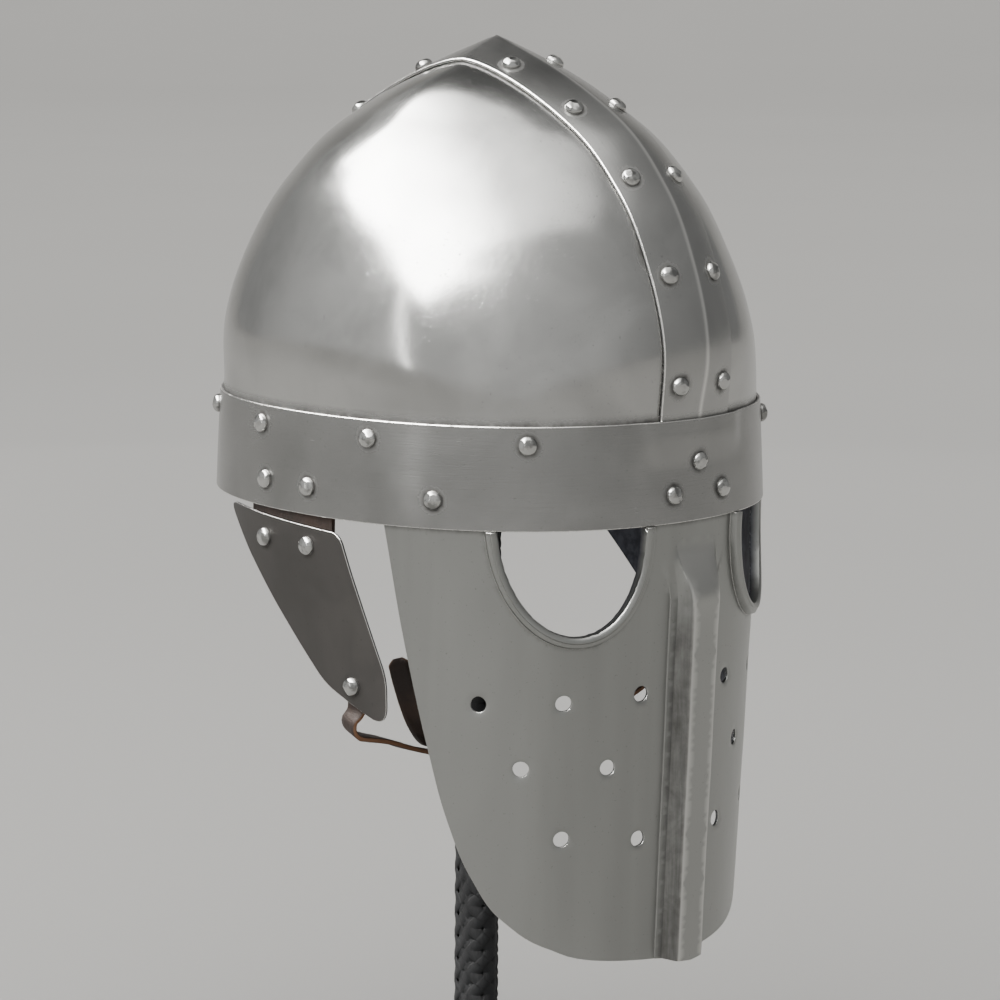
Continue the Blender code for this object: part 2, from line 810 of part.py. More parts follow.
def strap_hang(side, z, inset):
    """A place on the inside of a cheek plate's tip, where the strap is riveted."""
    point, normal = wrapped(side * math.radians(STRAP_ANGLE) * WRAP_RADIUS, z, cheek_offset(z))
    return point - normal * inset


def strap_rivet_level():
    """Height of the rivet in the cheek plate's tip."""
    return cheek_point(0, STRAP_PLACE)[1]


def chin_level(x, half, top):
    """Height of the strap's hanging run under the chin."""
    return top - STRAP_SAG * (1 - (x / half) ** 2)


def smooth_route(points, step):
    """A smooth curve through points, read off at even steps."""
    pts = [Vector(p) for p in points]
    pts = [2 * pts[0] - pts[1]] + pts + [2 * pts[-1] - pts[-2]]
    dense = []
    for i in range(1, len(pts) - 2):
        before, here, ahead, beyond = pts[i - 1 : i + 3]
        first = ahead - before
        second = 2 * before - 5 * here + 4 * ahead - beyond
        third = 3 * here - before - 3 * ahead + beyond
        for k in range(16):
            t = k / 16
            dense.append(here + 0.5 * (first * t + second * t * t + third * t**3))
    dense.append(pts[-2])
    lengths = [0.0]
    for a, b in zip(dense, dense[1:]):
        lengths.append(lengths[-1] + (b - a).length)
    count = max(2, round(lengths[-1] / step))
    route = []
    for i in range(count + 1):
        at = lengths[-1] * i / count
        j = min(int(np.searchsorted(lengths, at, side="right")) - 1, len(dense) - 2)
        part = (at - lengths[j]) / max(lengths[j + 1] - lengths[j], 1e-9)
        route.append(dense[j].lerp(dense[j + 1], min(part, 1.0)))
    return route


def strap_solid(route, widths):
    """A flat strap along a route, its width direction read from the rows of a table."""
    rings = []
    last = len(route) - 1
    shares, *columns = zip(*widths)
    for i, point in enumerate(route):
        along = (route[min(i + 1, last)] - route[max(i - 1, 0)]).normalized()
        width = Vector([float(np.interp(i / last, shares, column)) for column in columns])
        width = (width - along * width.dot(along)).normalized()
        up = along.cross(width)
        half = width * STRAP_WIDTH / 2
        under = point - up * STRAP_WALL / 2
        over = point + up * STRAP_WALL / 2
        rings.append([under - half, under + half, over + half, over - half])
    return ring_loft(rings)


def strap_start(side):
    """The strap's points on the inside of one cheek plate and round its loose turn below the tip."""
    inset = 2 * GAP + STRAP_WALL / 2
    above, below = STRAP_ENDS
    level = strap_rivet_level()
    points = [strap_hang(side, level + rise * RIVET_RADIUS, inset) for rise in (above, 0, below)]
    low = points[-1]
    for out, back, up in TURN_CURVE:
        points.append(low + Vector((side * out, back, up)) * STRAP_TURN)
    return points


def strap_run():
    """Half length of the run under the chin, and the level of its ends."""
    points = strap_start(1)
    return points[1].x - STRAP_TURN, points[-1].z


def build_short_strap():
    """The wearer's right length: from the tip, round a loose turn, to the slide."""
    half, top = strap_run()
    points = strap_start(-1)
    for share in SHORT_RUN:
        x = -share * half
        points.append(Vector((x, -STRAP_BACK, chin_level(x, half, top))))
    verts, faces = strap_solid(smooth_route(points, STRAP_STEP), SHORT_WIDTHS)
    return add_leather("chin_strap_short", verts, faces)


def build_long_strap():
    """The wearer's left length: under the chin, through the slide, with its tail standing up."""
    half, top = strap_run()
    points = strap_start(1)
    for share in LONG_RUN:
        x = share * half
        points.append(Vector((x, -STRAP_BACK, chin_level(x, half, top) + STRAP_WALL + GAP)))
    start = points[-1]
    for along, up in TAIL_CURVE:
        points.append(start + Vector((-along * STRAP_TAIL, 0, up * STRAP_TAIL)))
    verts, faces = strap_solid(smooth_route(points, STRAP_STEP), LONG_WIDTHS)
    return add_leather("chin_strap_long", verts, faces)


def build_slide():
    """The plain loop that holds the two lengths together."""
    half, top = strap_run()
    x = SLIDE_PLACE * half
    z = chin_level(x, half, top)
    slope = 2 * STRAP_SAG * x / half**2
    along = Vector((1, 0, slope)).normalized()
    up = Vector((-along.z, 0, along.x))
    middle = Vector((x, -STRAP_BACK, z)) + up * (STRAP_WALL + GAP) / 2
    across = Vector((0, 1, 0))
    half_wide = STRAP_WIDTH / 2 + 2 * GAP
    half_tall = STRAP_WALL + 3 * GAP
    rings = []
    for side, level in ((-1, -1), (1, -1), (1, 1), (-1, 1)):
        ring = []
        for end, out in ((-1, 0), (1, 0), (1, 1), (-1, 1)):
            wide = side * (half_wide + out * SLIDE_WIRE)
            tall = level * (half_tall + out * SLIDE_WIRE)
            ring.append(middle + along * end * SLIDE_LENGTH / 2 + across * wide + up * tall)
        rings.append(ring)
    verts, faces = ring_loft(rings, closed_path=True)
    return add_steel("chin_slide", verts, faces, 0.35)


# Rivets


def add_rivet(name, seat, normal):
    """A domed rivet head on a seat."""
    sides = 10
    levels = ((1.0, 0.0), (0.97, 0.30), (0.75, 0.72), (0.38, 0.95))
    side = normal.orthogonal().normalized()
    other = normal.cross(side)
    verts = []
    for radius, height in levels:
        for k in range(sides):
            turn = 2 * math.pi * k / sides
            around = side * math.cos(turn) + other * math.sin(turn)
            verts.append(seat + around * radius * RIVET_RADIUS + normal * (GAP + height * RIVET_HEIGHT))
    verts.append(seat + normal * (GAP + RIVET_HEIGHT))
    faces = [tuple(reversed(range(sides)))]
    for i in range(len(levels) - 1):
        for k in range(sides):
            m = (k + 1) % sides
            faces.append((i * sides + k, i * sides + m, (i + 1) * sides + m, (i + 1) * sides + k))
    last = (len(levels) - 1) * sides
    for k in range(sides):
        faces.append((last + k, last + (k + 1) % sides, len(verts) - 1))
    return add_steel(name, verts, faces, 0.6)


def build_crest_rivets():
    """Two rows of rivets over the crest, front and back."""
    path = crest_path(200)
    peak = len(path) // 2
    for end, half in enumerate((path[:peak], path[peak + 1 :][::-1])):
        for number, row in enumerate(CREST_RIVETS, 1):
            share = row[end]
            point, normal, _ = min(half, key=lambda station: abs(station[2] - share))
            for side_name, side in (("right", -1), ("left", 1)):
                across = side * CREST_RIVET_OUT
                seat = crest_top(point, normal, across, share)
                tilt = crest_top(point, normal, across + side * RIVET_RADIUS / 2, share) - seat
                face = tilt.cross(Vector((0, normal.z, -normal.y))).normalized()
                if face.dot(normal) < 0:
                    face = -face
                add_rivet(f"crest_rivet_{('front', 'rear')[end]}_{side_name}_{number}", seat, face)


def crest_top(point, normal, across, share):
    """A place on the crest's outside."""
    lift = CREST_SEAT + crest_fold(across, share) + CREST_WALL
    return on_skull(point, normal, across) + normal * lift


def build_band_rivets():
    """The brow row, the face plate's rivets and the hinge pairs, all through the brow band."""
    places = [("brow_rivet_rear", 180.0, BROW_RIVET_DROP)]
    places.append(("face_rivet_top", 0.0, LOWER_RIVET_DROP - FACE_RIVET_RISE))
    spread = math.degrees(FACE_RIVET_SPREAD / WRAP_RADIUS)
    hinge = math.degrees(hinge_middle() / WRAP_RADIUS)
    spacing = math.degrees(HINGE_RIVET_SPREAD / WRAP_RADIUS)
    for side_name, side in (("right", -1), ("left", 1)):
        for number, angle in enumerate(BROW_RIVETS, 1):
            places.append((f"brow_rivet_{side_name}_{number}", side * angle, BROW_RIVET_DROP))
        places.append((f"face_rivet_{side_name}", side * spread, LOWER_RIVET_DROP))
        places.append((f"face_rivet_side_{side_name}", side * FACE_SIDE_RIVET, LOWER_RIVET_DROP))
        places.append((f"hinge_rivet_{side_name}_1", side * (hinge - spacing), LOWER_RIVET_DROP))
        places.append((f"hinge_rivet_{side_name}_2", side * (hinge + spacing), LOWER_RIVET_DROP))
    for name, angle, drop in places:
        turn = math.radians(angle)
        seat = brow_skin(turn, -drop)
        beside = brow_skin(turn + 0.02, -drop) - brow_skin(turn - 0.02, -drop)
        above = brow_skin(turn, -drop + 0.001) - brow_skin(turn, -drop - 0.001)
        add_rivet(name, seat, beside.cross(above).normalized())


def build_cheek_rivets():
    """Two rivets through each cheek plate into its leather, and one for the strap."""
    hinge = hinge_middle()
    level = -BROW_HEIGHT - HINGE_RIVET_DROP
    for side_name, side in (("right", -1), ("left", 1)):
        spots = [
            (f"cheek_rivet_{side_name}_1", hinge - HINGE_RIVET_SPREAD, level),
            (f"cheek_rivet_{side_name}_2", hinge + HINGE_RIVET_SPREAD, level),
            (f"strap_rivet_{side_name}", math.radians(STRAP_ANGLE) * WRAP_RADIUS, strap_rivet_level()),
        ]
        for name, arc, z in spots:
            seat, normal = wrapped(side * arc, z, cheek_offset(z) + CHEEK_WALL)
            add_rivet(name, seat, normal)


# Stand


def turned(profile, middle_y, sides):
    """A solid turned about an upright axis from rows of radius and height, bottom to top."""
    verts = [Vector((0, middle_y, profile[0][1]))]
    for radius, z in profile:
        for k in range(sides):
            turn = 2 * math.pi * k / sides
            verts.append(Vector((radius * math.cos(turn), middle_y + radius * math.sin(turn), z)))
    verts.append(Vector((0, middle_y, profile[-1][1])))
    faces = []
    for k in range(sides):
        m = (k + 1) % sides
        faces.append((0, 1 + m, 1 + k))
        for i in range(len(profile) - 1):
            a = 1 + i * sides
            faces.append((a + k, a + m, a + sides + m, a + sides + k))
        last = 1 + (len(profile) - 1) * sides
        faces.append((last + k, last + m, len(verts) - 1))
    return verts, faces


def cap_profile(top):
    """The stand's rounded cap, from its neck on the post to its crown."""
    rows = [(POST_RADIUS, top - CAP_RISE - CAP_NECK)]
    for radius_share, height_share in CAP_SECTION:
        rows.append((CAP_RADIUS * radius_share, top - CAP_RISE - CAP_NECK * (1 - height_share)))
    for k in range(1, 6):
        turn = math.pi / 2 * k / 5
        rows.append((max(CAP_RADIUS * math.cos(turn), CAP_CROWN), top - CAP_RISE * (1 - math.sin(turn))))
    return rows


def inside_ceiling(x, y):
    """Height of the skull's inside over a point, in the helmet's own frame."""
    low = 0.0
    high = SKULL_HEIGHT
    for _ in range(40):
        middle = (low + high) / 2
        if skull_measure(Vector((x, y, middle))) < 0:
            low = middle
        else:
            high = middle
    return low


def cap_top():
    """Level of the cap's crown, as high as the skull's inside lets it go."""
    reach = []
    for radius, z in cap_profile(0.0)[len(CAP_SECTION) :]:
        for k in range(24):
            turn = 2 * math.pi * k / 24
            x = radius * math.cos(turn)
            y = POST_BACK - helmet_back() + radius * math.sin(turn)
            reach.append(inside_ceiling(x, y) - z)
    return BROW_LEVEL + min(reach) - SKULL_WALL * CAP_SLOPE - 2 * GAP


def build_stand():
    """Round base, upright post and the cap that the skull rests on."""
    foot = (BASE_RADIUS, 0.0)
    base = [foot, (BASE_RADIUS, BASE_HEIGHT - BASE_EDGE), (BASE_RADIUS - BASE_EDGE, BASE_HEIGHT)]
    verts, faces = turned(base, POST_BACK, 48)
    add_object("stand_base", verts, faces, (0.03, 0.03, 0.03), 0.5, 0.9, on_stand=True)
    cap = cap_profile(cap_top())
    post = [(POST_RADIUS, BASE_HEIGHT + GAP), (POST_RADIUS, cap[0][1] - GAP)]
    verts, faces = turned(post, POST_BACK, 20)
    add_object("stand_post", verts, faces, (0.03, 0.03, 0.03), 0.6, 0.0, on_stand=True)
    verts, faces = turned(cap, POST_BACK, 24)
    add_object("stand_cap", verts, faces, (0.03, 0.03, 0.03), 0.5, 0.0, on_stand=True)


def helmet_back():
    """Sets the helmet so that the whole part's depth is centred on the origin."""
    z = -BROW_HEIGHT - RIDGE_START - RIDGE_RUN_OUT
    front = HALF_LENGTH + face_offset(z) + RIDGE_PROUD
    rivet = brow_offset(-BROW_RIVET_DROP) + brow_bulge(0, -BROW_RIVET_DROP) + GAP + RIVET_HEIGHT
    rear = HALF_LENGTH + max(rivet, BROW_FLARE)
    return (front - rear) / 2


def main():
    for obj in list(bpy.data.objects):
        bpy.data.objects.remove(obj)
    build_bowl("bowl_right", -1)
    build_bowl("bowl_left", 1)
    build_crest()
    build_brow()
    build_face_plate()
    for side_name, side in (("right", -1), ("left", 1)):
        build_cheek_plate(f"cheek_plate_{side_name}", side)
        build_hinge(f"cheek_hinge_{side_name}", side)
    build_short_strap()
    build_long_strap()
    build_slide()
    build_crest_rivets()
    build_band_rivets()
    build_cheek_rivets()
    build_stand()


if __name__ == "__main__":
    main()
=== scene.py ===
import math

import bpy
import bmesh
import numpy as np
from bpy.props import FloatProperty, FloatVectorProperty, IntProperty, PointerProperty
from bpy.types import Operator, Panel, PropertyGroup
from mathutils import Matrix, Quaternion, Vector, noise
from mathutils.geometry import delaunay_2d_cdt


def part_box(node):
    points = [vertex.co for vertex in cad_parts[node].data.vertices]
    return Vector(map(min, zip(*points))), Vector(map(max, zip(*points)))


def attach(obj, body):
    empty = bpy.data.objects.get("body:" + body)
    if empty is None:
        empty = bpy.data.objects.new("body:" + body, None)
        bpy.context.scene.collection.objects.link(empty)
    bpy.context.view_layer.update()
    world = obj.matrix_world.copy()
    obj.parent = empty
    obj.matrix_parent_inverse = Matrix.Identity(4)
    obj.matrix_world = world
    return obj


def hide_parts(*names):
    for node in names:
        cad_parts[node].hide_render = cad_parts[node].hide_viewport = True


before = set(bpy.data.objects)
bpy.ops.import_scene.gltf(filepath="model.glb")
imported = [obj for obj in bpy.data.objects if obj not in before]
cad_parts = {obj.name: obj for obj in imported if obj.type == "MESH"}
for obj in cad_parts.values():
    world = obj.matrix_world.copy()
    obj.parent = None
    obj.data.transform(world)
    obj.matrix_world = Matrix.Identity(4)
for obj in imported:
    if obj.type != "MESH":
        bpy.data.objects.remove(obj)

bl_info = {
    "name": "Norse Iron Helmet",
    "version": (1, 0, 0),
    "blender": (4, 5, 0),
    "location": "3D View > Sidebar > Helmet",
    "description": "Forges the plates, rivets, leather and stand of a riveted iron helmet around its solids",
    "category": "Object",
}

# Sizes of the helmet's solids, in metres, repeated from the model that the frame is made of
GAP = 0.0003
HALF_WIDTH = 0.1045
HALF_LENGTH = 0.1172
ROUNDNESS = 2.17
WRAP_RADIUS = (HALF_WIDTH + HALF_LENGTH) / 2
BROW_HEIGHT = 0.0415
BROW_FLARE = 0.0019
BROW_WALL = 0.0014
SKULL_HEIGHT = 0.1453
SKULL_WALL = 0.0015
SKULL_LAP = 0.013
PEAK_FORWARD = 0.0035
CREST_HALF_WIDTH = 0.0204
CREST_WALL = 0.0012
CREST_FOLD = 0.0024
CREST_FOLD_AT_BROW = 0.0010
CREST_FOLD_START = 0.12
CREST_SEAT = 1.3 * GAP
CREST_LAP = 0.007
BULGE_RUN_OUT = 0.0110
BULGE_RIM = 0.0009
BULGE_SHOULDER = 0.0108
FACE_WALL = 0.0015
FACE_HALF_ARC = 0.1327
FACE_DROP = 0.184
FACE_LAP = 0.027
FACE_LEAN = 0.043
EYE_MIDDLE = 0.0564
EYE_NOSEWARD = 0.0028
EYE_HALF_WIDTH = 0.0289
EYE_DEPTH = 0.0433
EYE_TUCK = 0.0015
RIM_WIDTH = 0.0050
RIM_PROUD = 0.0036
RIDGE_HALF_WIDTH = 0.0075
RIDGE_SPLAY = 0.0017
RIDGE_FILLET = 0.0037
RIDGE_PROUD = 0.0085
RIDGE_START = 0.008
RIDGE_RUN_OUT = 0.025
RIDGE_NECK = 0.45
BREATH_RADIUS = 0.00325
CHEEK_WALL = 0.0012
CHEEK_FRONT = 0.1318
CHEEK_ARC = 0.1015
CHEEK_TOP = 0.0015
CHEEK_LENGTH = 0.077
CHEEK_LEAN = 0.045
LEATHER_WALL = 0.0020
HINGE_HALF_ARC = 0.027
HINGE_LAP = 0.021
HINGE_DROP = 0.0205
HINGE_PLACE = 0.545
HINGE_RIVET_DROP = 0.0127
STRAP_WIDTH = 0.009
STRAP_WALL = 0.0022
STRAP_SAG = 0.022
STRAP_TURN = 0.0065
STRAP_BACK = 0.021
STRAP_TAIL = 0.046
SLIDE_WIRE = 0.0025
SLIDE_LENGTH = 0.007
RIVET_RADIUS = 0.0040
RIVET_HEIGHT = 0.0030
CREST_RIVET_OUT = 0.0130
BROW_RIVET_DROP = 0.0075
LOWER_RIVET_DROP = 0.0300
FACE_RIVET_SPREAD = 0.0138
FACE_RIVET_RISE = 0.0125
FACE_SIDE_RIVET = 57.2
HINGE_RIVET_SPREAD = 0.0141

# Skull sections: height share, length share, width share, roundness in front, roundness behind
SKULL_SECTIONS = (
    (0.000, 1.000, 1.000, 2.17, 2.17),
    (0.205, 1.018, 1.018, 1.92, 2.03),
    (0.411, 0.948, 0.950, 1.79, 1.93),
    (0.616, 0.808, 0.808, 1.70, 1.84),
    (0.788, 0.584, 0.596, 1.62, 1.77),
    (0.925, 0.250, 0.300, 1.57, 1.72),
    (1.000, 0.000, 0.000, 1.55, 1.70),
)

# Side edge of the face plate below the brow band: drop share, half arc share
FACE_EDGE = (
    (0.000, 1.000),
    (0.214, 0.946),
    (0.485, 0.860),
    (0.650, 0.795),
    (0.780, 0.715),
    (0.878, 0.610),
    (0.940, 0.470),
    (0.975, 0.310),
    (1.000, 0.000),
)

# Eye rim across its width: share of the width out from the opening, share of its height
RIM_SECTION = (
    (0.00, 0.66),
    (0.07, 0.80),
    (0.34, 1.00),
    (0.42, 1.00),
    (0.50, 0.88),
    (0.58, 0.88),
    (0.82, 0.74),
    (0.92, 0.50),
    (1.00, 0.00),
)

# Nasal ridge from its middle outwards: shares of half width, of splay and of fillet, share of its height
RIDGE_SECTION = (
    (0.00, 0.0, 0.0, 0.98),
    (0.45, 0.0, 0.0, 0.975),
    (0.86, 0.0, 0.0, 0.955),
    (0.95, 0.0, 0.0, 0.92),
    (1.00, 0.1, 0.0, 0.86),
    (1.00, 0.9, 0.0, 0.20),
    (1.00, 1.0, 0.1, 0.12),
    (1.00, 1.0, 0.9, 0.05),
    (1.00, 1.0, 1.0, 0.00),
)

# Breath holes of one half: share of the half arc, share of the drop
BREATH_HOLES = (
    (0.190, 0.375),
    (0.440, 0.383),
    (0.695, 0.385),
    (0.296, 0.534),
    (0.565, 0.529),
    (0.181, 0.705),
    (0.437, 0.690),
)

# Cheek plate corners: share of the arc back from the front, share of the length down, corner radius
CHEEK_CORNERS = (
    (1.000, 0.000, 0.003),
    (0.225, 0.055, 0.008),
    (0.000, 0.800, 0.030),
    (0.000, 1.070, 0.0075),
    (0.323, 0.871, 0.035),
)

# Rivets up the crest: share of the way from the brow band to the peak, in front and behind
CREST_RIVETS = (
    (0.070, 0.070),
    (0.288, 0.285),
    (0.498, 0.475),
    (0.702, 0.645),
    (0.893, 0.850),
)

# Rivets of the brow row: angle from the front, in degrees
BROW_RIVETS = (38.2, 72.6, 106.3, 139.5)

# Chin strap: angle of its rivet from the front, the arc that this makes, and its share of the plate's length
STRAP_ANGLE = math.radians(77.1)
STRAP_ARC = STRAP_ANGLE * WRAP_RADIUS
STRAP_PLACE = 0.865

# Chin strap: run under the chin as shares of its half length, and the standing tail's points
SHORT_RUN = (0.88, 0.75, 0.62, 0.5, 0.38)
LONG_RUN = (0.88, 0.75, 0.5, 0.25, 0.0, -0.2, -0.38, -0.52)
SLIDE_PLACE = -0.45
TAIL_CURVE = ((0.22, 0.12), (0.42, 0.50), (0.56, 0.90))

# Strap width direction along each length: share of the way, then across, along and up
SHORT_WIDTHS = ((0.0, -0.14, 1, 0), (0.2, -0.14, 1, 0), (0.32, 0.6, 0.8, 0), (0.55, 0, 1, 0), (1, 0, 1, 0))
LONG_WIDTHS = (
    (0.00, 0.14, 1, 0),
    (0.09, 0.14, 1, 0),
    (0.14, -0.5, 0.8, 0),
    (0.25, 0, 1, 0),
    (0.80, 0, 1, 0),
    (0.90, -0.6, 0.8, -0.2),
    (1.00, -0.62, 0.65, -0.43),
)

# Hollows and swellings of each piece beside the skull: how deep they are, and how broad
CREST_HAMMERING = (0.00010, 0.024)
BROW_HAMMERING = (0.00016, 0.030)
FACE_HAMMERING = (0.00022, 0.032)
CHEEK_HAMMERING = (0.00020, 0.024)
LEATHER_COCKLING = (0.00080, 0.012)

# Places that the frame gives: the middle of the brow band's upper edge, and the stand's axis
BROW_LOW, BROW_HIGH = (Vector(corner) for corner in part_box("brow_band"))
HELMET_ORIGIN = Vector((0, (BROW_LOW.y + BROW_HIGH.y) / 2, BROW_HIGH.z))
POST_LOW, POST_HIGH = (Vector(corner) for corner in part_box("stand_post"))
CAP_LOW, CAP_HIGH = (Vector(corner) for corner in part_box("stand_cap"))
BASE_HIGH = Vector(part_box("stand_base")[1])
STAND_FOOT = Vector((0, (POST_LOW.y + POST_HIGH.y) / 2, 0))

# Peak of the skull's outside, from the helmet's origin
PEAK = Vector((0, -PEAK_FORWARD, SKULL_HEIGHT))

# Sides of the helmet: the wearer's name for each, and its sign across
SIDES = (("right", -1), ("left", 1))

# Camera as the photograph has it: turn to the wearer's left from the front and rise, in degrees, and distance
CAMERA_TURN = -46.0
CAMERA_RISE = 7.5
CAMERA_DISTANCE = 1.5
CAMERA_ROLL = math.radians(0.4)
CAMERA_LENS = 127.26
SENSOR_WIDTH = 36.0

# Where the helmet's origin stands in the picture, as shares of the frame from its middle
ORIGIN_RIGHT = -0.0116
ORIGIN_UP = 0.1108

# Studio lights: turn to the wearer's left from the front and rise, in degrees
KEY_WAY = (-111.6, 67.6)
STRIP_WAY = (-91, 13)


def hue(name, description, *channels):
    """A colour property, from red, green and blue."""
    return FloatVectorProperty(
        name=name, description=description, subtype="COLOR", size=4, default=(*channels, 1), min=0, max=1
    )


def span(name, description, default, low, high):
    """A length property, in metres."""
    return FloatProperty(
        name=name, description=description, default=default, min=low, max=high, unit="LENGTH"
    )


def watts(name, description, default, high):
    """A light's power property, in watts."""
    return FloatProperty(name=name, description=description, default=default, min=0, max=high, unit="POWER")


class HelmetFinishes(PropertyGroup):
    """Colours of the helmet, its leather and its stand."""

    skull: hue("Skull iron", "Polished iron of the skull", 0.47, 0.47, 0.458)
    crest: hue("Crest iron", "Polished iron of the crest band", 0.385, 0.385, 0.375)
    band: hue("Band iron", "Satin iron of the brow band", 0.312, 0.312, 0.305)
    face: hue("Face iron", "Satin iron of the face plate", 0.300, 0.304, 0.293)
    cheek: hue("Cheek iron", "Duller iron of the cheek plates", 0.105, 0.100, 0.096)
    rivet: hue("Rivet iron", "Bright iron of the rivet heads", 0.50, 0.50, 0.485)
    edge: hue("Worn edge", "Iron where an edge is rubbed bright", 0.80, 0.79, 0.76)
    # Grime colour: old oil and dirt, and also painted shade in joints, round rivets and along the nasal ridge
    grime_and_shade: hue("Grime", "Old oil and soot in joints and round rivets", 0.030, 0.027, 0.024)
    # Inside colour: real dark scale, made dark enough to be painted shade inside the helmet as well
    inside: hue("Unpolished inside", "Blue-black scale on the inner faces", 0.050, 0.052, 0.062)
    leather: hue("Leather", "Grain side of the straps", 0.030, 0.015, 0.009)
    leather_edge: hue("Leather edge", "Paler cut edges of the straps", 0.20, 0.095, 0.045)
    plait: hue("Plait", "Dark strands round the stand's post", 0.0075, 0.008, 0.009)
    stand: hue("Stand", "Blackened iron of the base and cap", 0.020, 0.020, 0.021)


class HelmetDetails(PropertyGroup):
    """Sizes of the marks that the smith's work leaves, and the reach of dirt and painted shade."""

    edge_round: span("Edge rounding", "Width of the rounding along cut edges", 0.00035, 0.0001, 0.001)
    hammer_depth: span("Hammering depth", "How far the skull wanders from its form", 0.00035, 0, 0.001)
    hammer_size: span("Hammering size", "Breadth of the hollows that hammering leaves", 0.034, 0.005, 0.08)
    sheet_step: span("Sheet step", "Distance between the points of a bent sheet", 0.0024, 0.001, 0.01)
    # Reach of the dirt and painted shade round joints and rivets
    grime_and_shade_reach: span("Grime reach", "How far grime spreads from a joint or rivet", 0.0036, 0.0005, 0.02)
    plait_strands: IntProperty(
        name="Plait strands", description="Strands that run each way round the post", default=6, min=4, max=12
    )
    plait_pitch: span("Plait pitch", "Height of one strand's turn round the post", 0.060, 0.03, 0.1)


class StageSettings(PropertyGroup):
    """The floor, the lights and what they look like."""

    floor: hue("Floor", "Colour of the floor and backdrop", 0.36, 0.355, 0.345)
    sky: hue("Studio", "Colour of the studio's far side", 0.35, 0.35, 0.346)
    glow: hue("Studio glow", "Colour of the studio's side beside the softbox", 0.78, 0.78, 0.768)
    sky_strength: FloatProperty(
        name="Studio strength", description="Brightness of the studio all round", default=1.0, min=0, max=5
    )
    key_strength: watts("Key light", "Power of the large softbox beside the helmet", 470.0, 2000)
    ceiling_strength: watts("Ceiling light", "Power of the soft light over the floor", 2650.0, 6000)


def colours():
    """The colours that the panel holds."""
    return bpy.context.scene.helmet_finishes


def details():
    """The sizes that the panel holds."""
    return bpy.context.scene.helmet_details


# Curves and forms


def curve_value(rows, column, at):
    """Reads a smooth curve through the rows of a table at a value of its first column."""
    xs, ys = np.array([(row[0], row[column]) for row in rows]).T
    at = min(max(at, xs[0]), xs[-1])
    steps = np.diff(xs)
    slopes = np.diff(ys) / steps
    inner = (slopes[:-1] * steps[1:] + slopes[1:] * steps[:-1]) / (steps[:-1] + steps[1:])
    tangents = np.concatenate([slopes[:1], inner, slopes[-1:]])
    i = min(int(np.searchsorted(xs, at, side="right")) - 1, len(steps) - 1)
    t = (at - xs[i]) / steps[i]
    return float(
        ys[i] * (1 + 2 * t) * (1 - t) ** 2
        + steps[i] * tangents[i] * t * (1 - t) ** 2
        + ys[i + 1] * t * t * (3 - 2 * t)
        + steps[i] * tangents[i + 1] * t * t * (t - 1)
    )


def turns(count):
    """Evenly spaced angles once round."""
    return [2 * math.pi * k / count for k in range(count)]


def run_lengths(line):
    """Length of a line of points up to each of them."""
    lengths = [0.0]
    for a, b in zip(line, line[1:]):
        lengths.append(lengths[-1] + (b - a).length)
    return lengths


def point_along(line, lengths, at):
    """The point at a length along a line, and the stretch of the line that it is on."""
    j = min(int(np.searchsorted(lengths, at, side="right")) - 1, len(line) - 2)
    part = (at - lengths[j]) / (lengths[j + 1] - lengths[j])
    return line[j].lerp(line[j + 1], min(part, 1.0)), line[j + 1] - line[j]


def smooth_step(value):
    """Runs from 0 to 1 with level ends."""
    value = min(max(value, 0.0), 1.0)
    return value * value * (3 - 2 * value)


def oval(angle, half_x, half_y, power):
    """Gives the point and the outward normal of an oval at an angle from the front."""
    across = math.sin(angle)
    along = -math.cos(angle)
    reach = (abs(across / half_x) ** power + abs(along / half_y) ** power) ** (-1 / power)
    x = reach * across
    y = reach * along
    slope_x = math.copysign(abs(x / half_x) ** (power - 1) / half_x, x)
    slope_y = math.copysign(abs(y / half_y) ** (power - 1) / half_y, y)
    return Vector((x, y, 0)), Vector((slope_x, slope_y, 0)).normalized()


def wrapped(arc, z, offset):
    """Bends a flat pattern point round the brow oval, offset outwards, and gives the normal there."""
    point, normal = oval(arc / WRAP_RADIUS, HALF_WIDTH + offset, HALF_LENGTH + offset, ROUNDNESS)
    return Vector((point.x, point.y, z)), normal


def brow_offset(z):
    """Outside of the brow band beyond its upper oval."""
    return BROW_FLARE * -z / BROW_HEIGHT


def under_brow(z):
    """Outside of a piece that lies against the inside of the brow band."""
    return brow_offset(max(z, -BROW_HEIGHT)) - BROW_WALL - GAP


def hammered(point, depth, size):
    """Low hollows and swellings that planishing leaves, as a height."""
    broad = noise.noise(point / size)
    fine = noise.noise(point * 3.1 / size + Vector((5, 9, 2)))
    return depth * (broad + 0.22 * fine)


# Pieces in the frame


def add_piece(
    name, verts, faces, finishes, nodes, marks, round_edges=0.0, origin=HELMET_ORIGIN, sharp=34
):
    """Makes a piece, rides it on the body and lets it stand for its solids."""
    mesh = bpy.data.meshes.new(name)
    mesh.from_pydata([tuple(v + origin) for v in verts], [], faces)
    work = bmesh.new()
    work.from_mesh(mesh)
    bmesh.ops.recalc_face_normals(work, faces=work.faces)
    work.to_mesh(mesh)
    work.free()
    for mark, values in marks.items():
        layer = mesh.attributes.new(mark, "FLOAT", "POINT")
        layer.data.foreach_set("value", np.asarray(values, dtype=np.float32))
    mesh.shade_smooth()
    mesh.set_sharp_from_angle(angle=math.radians(sharp))
    obj = bpy.data.objects.new(name, mesh)
    bpy.context.scene.collection.objects.link(obj)
    for finish in finishes:
        mesh.materials.append(finish)
    if round_edges:
        bevel = obj.modifiers.new("Rounded edges", "BEVEL")
        bevel.limit_method = "ANGLE"
        bevel.angle_limit = math.radians(50)
        bevel.width = round_edges
        bevel.segments = 2
        bevel.material = len(finishes) - 1
    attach(obj, "root")
    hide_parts(*nodes)
    return obj


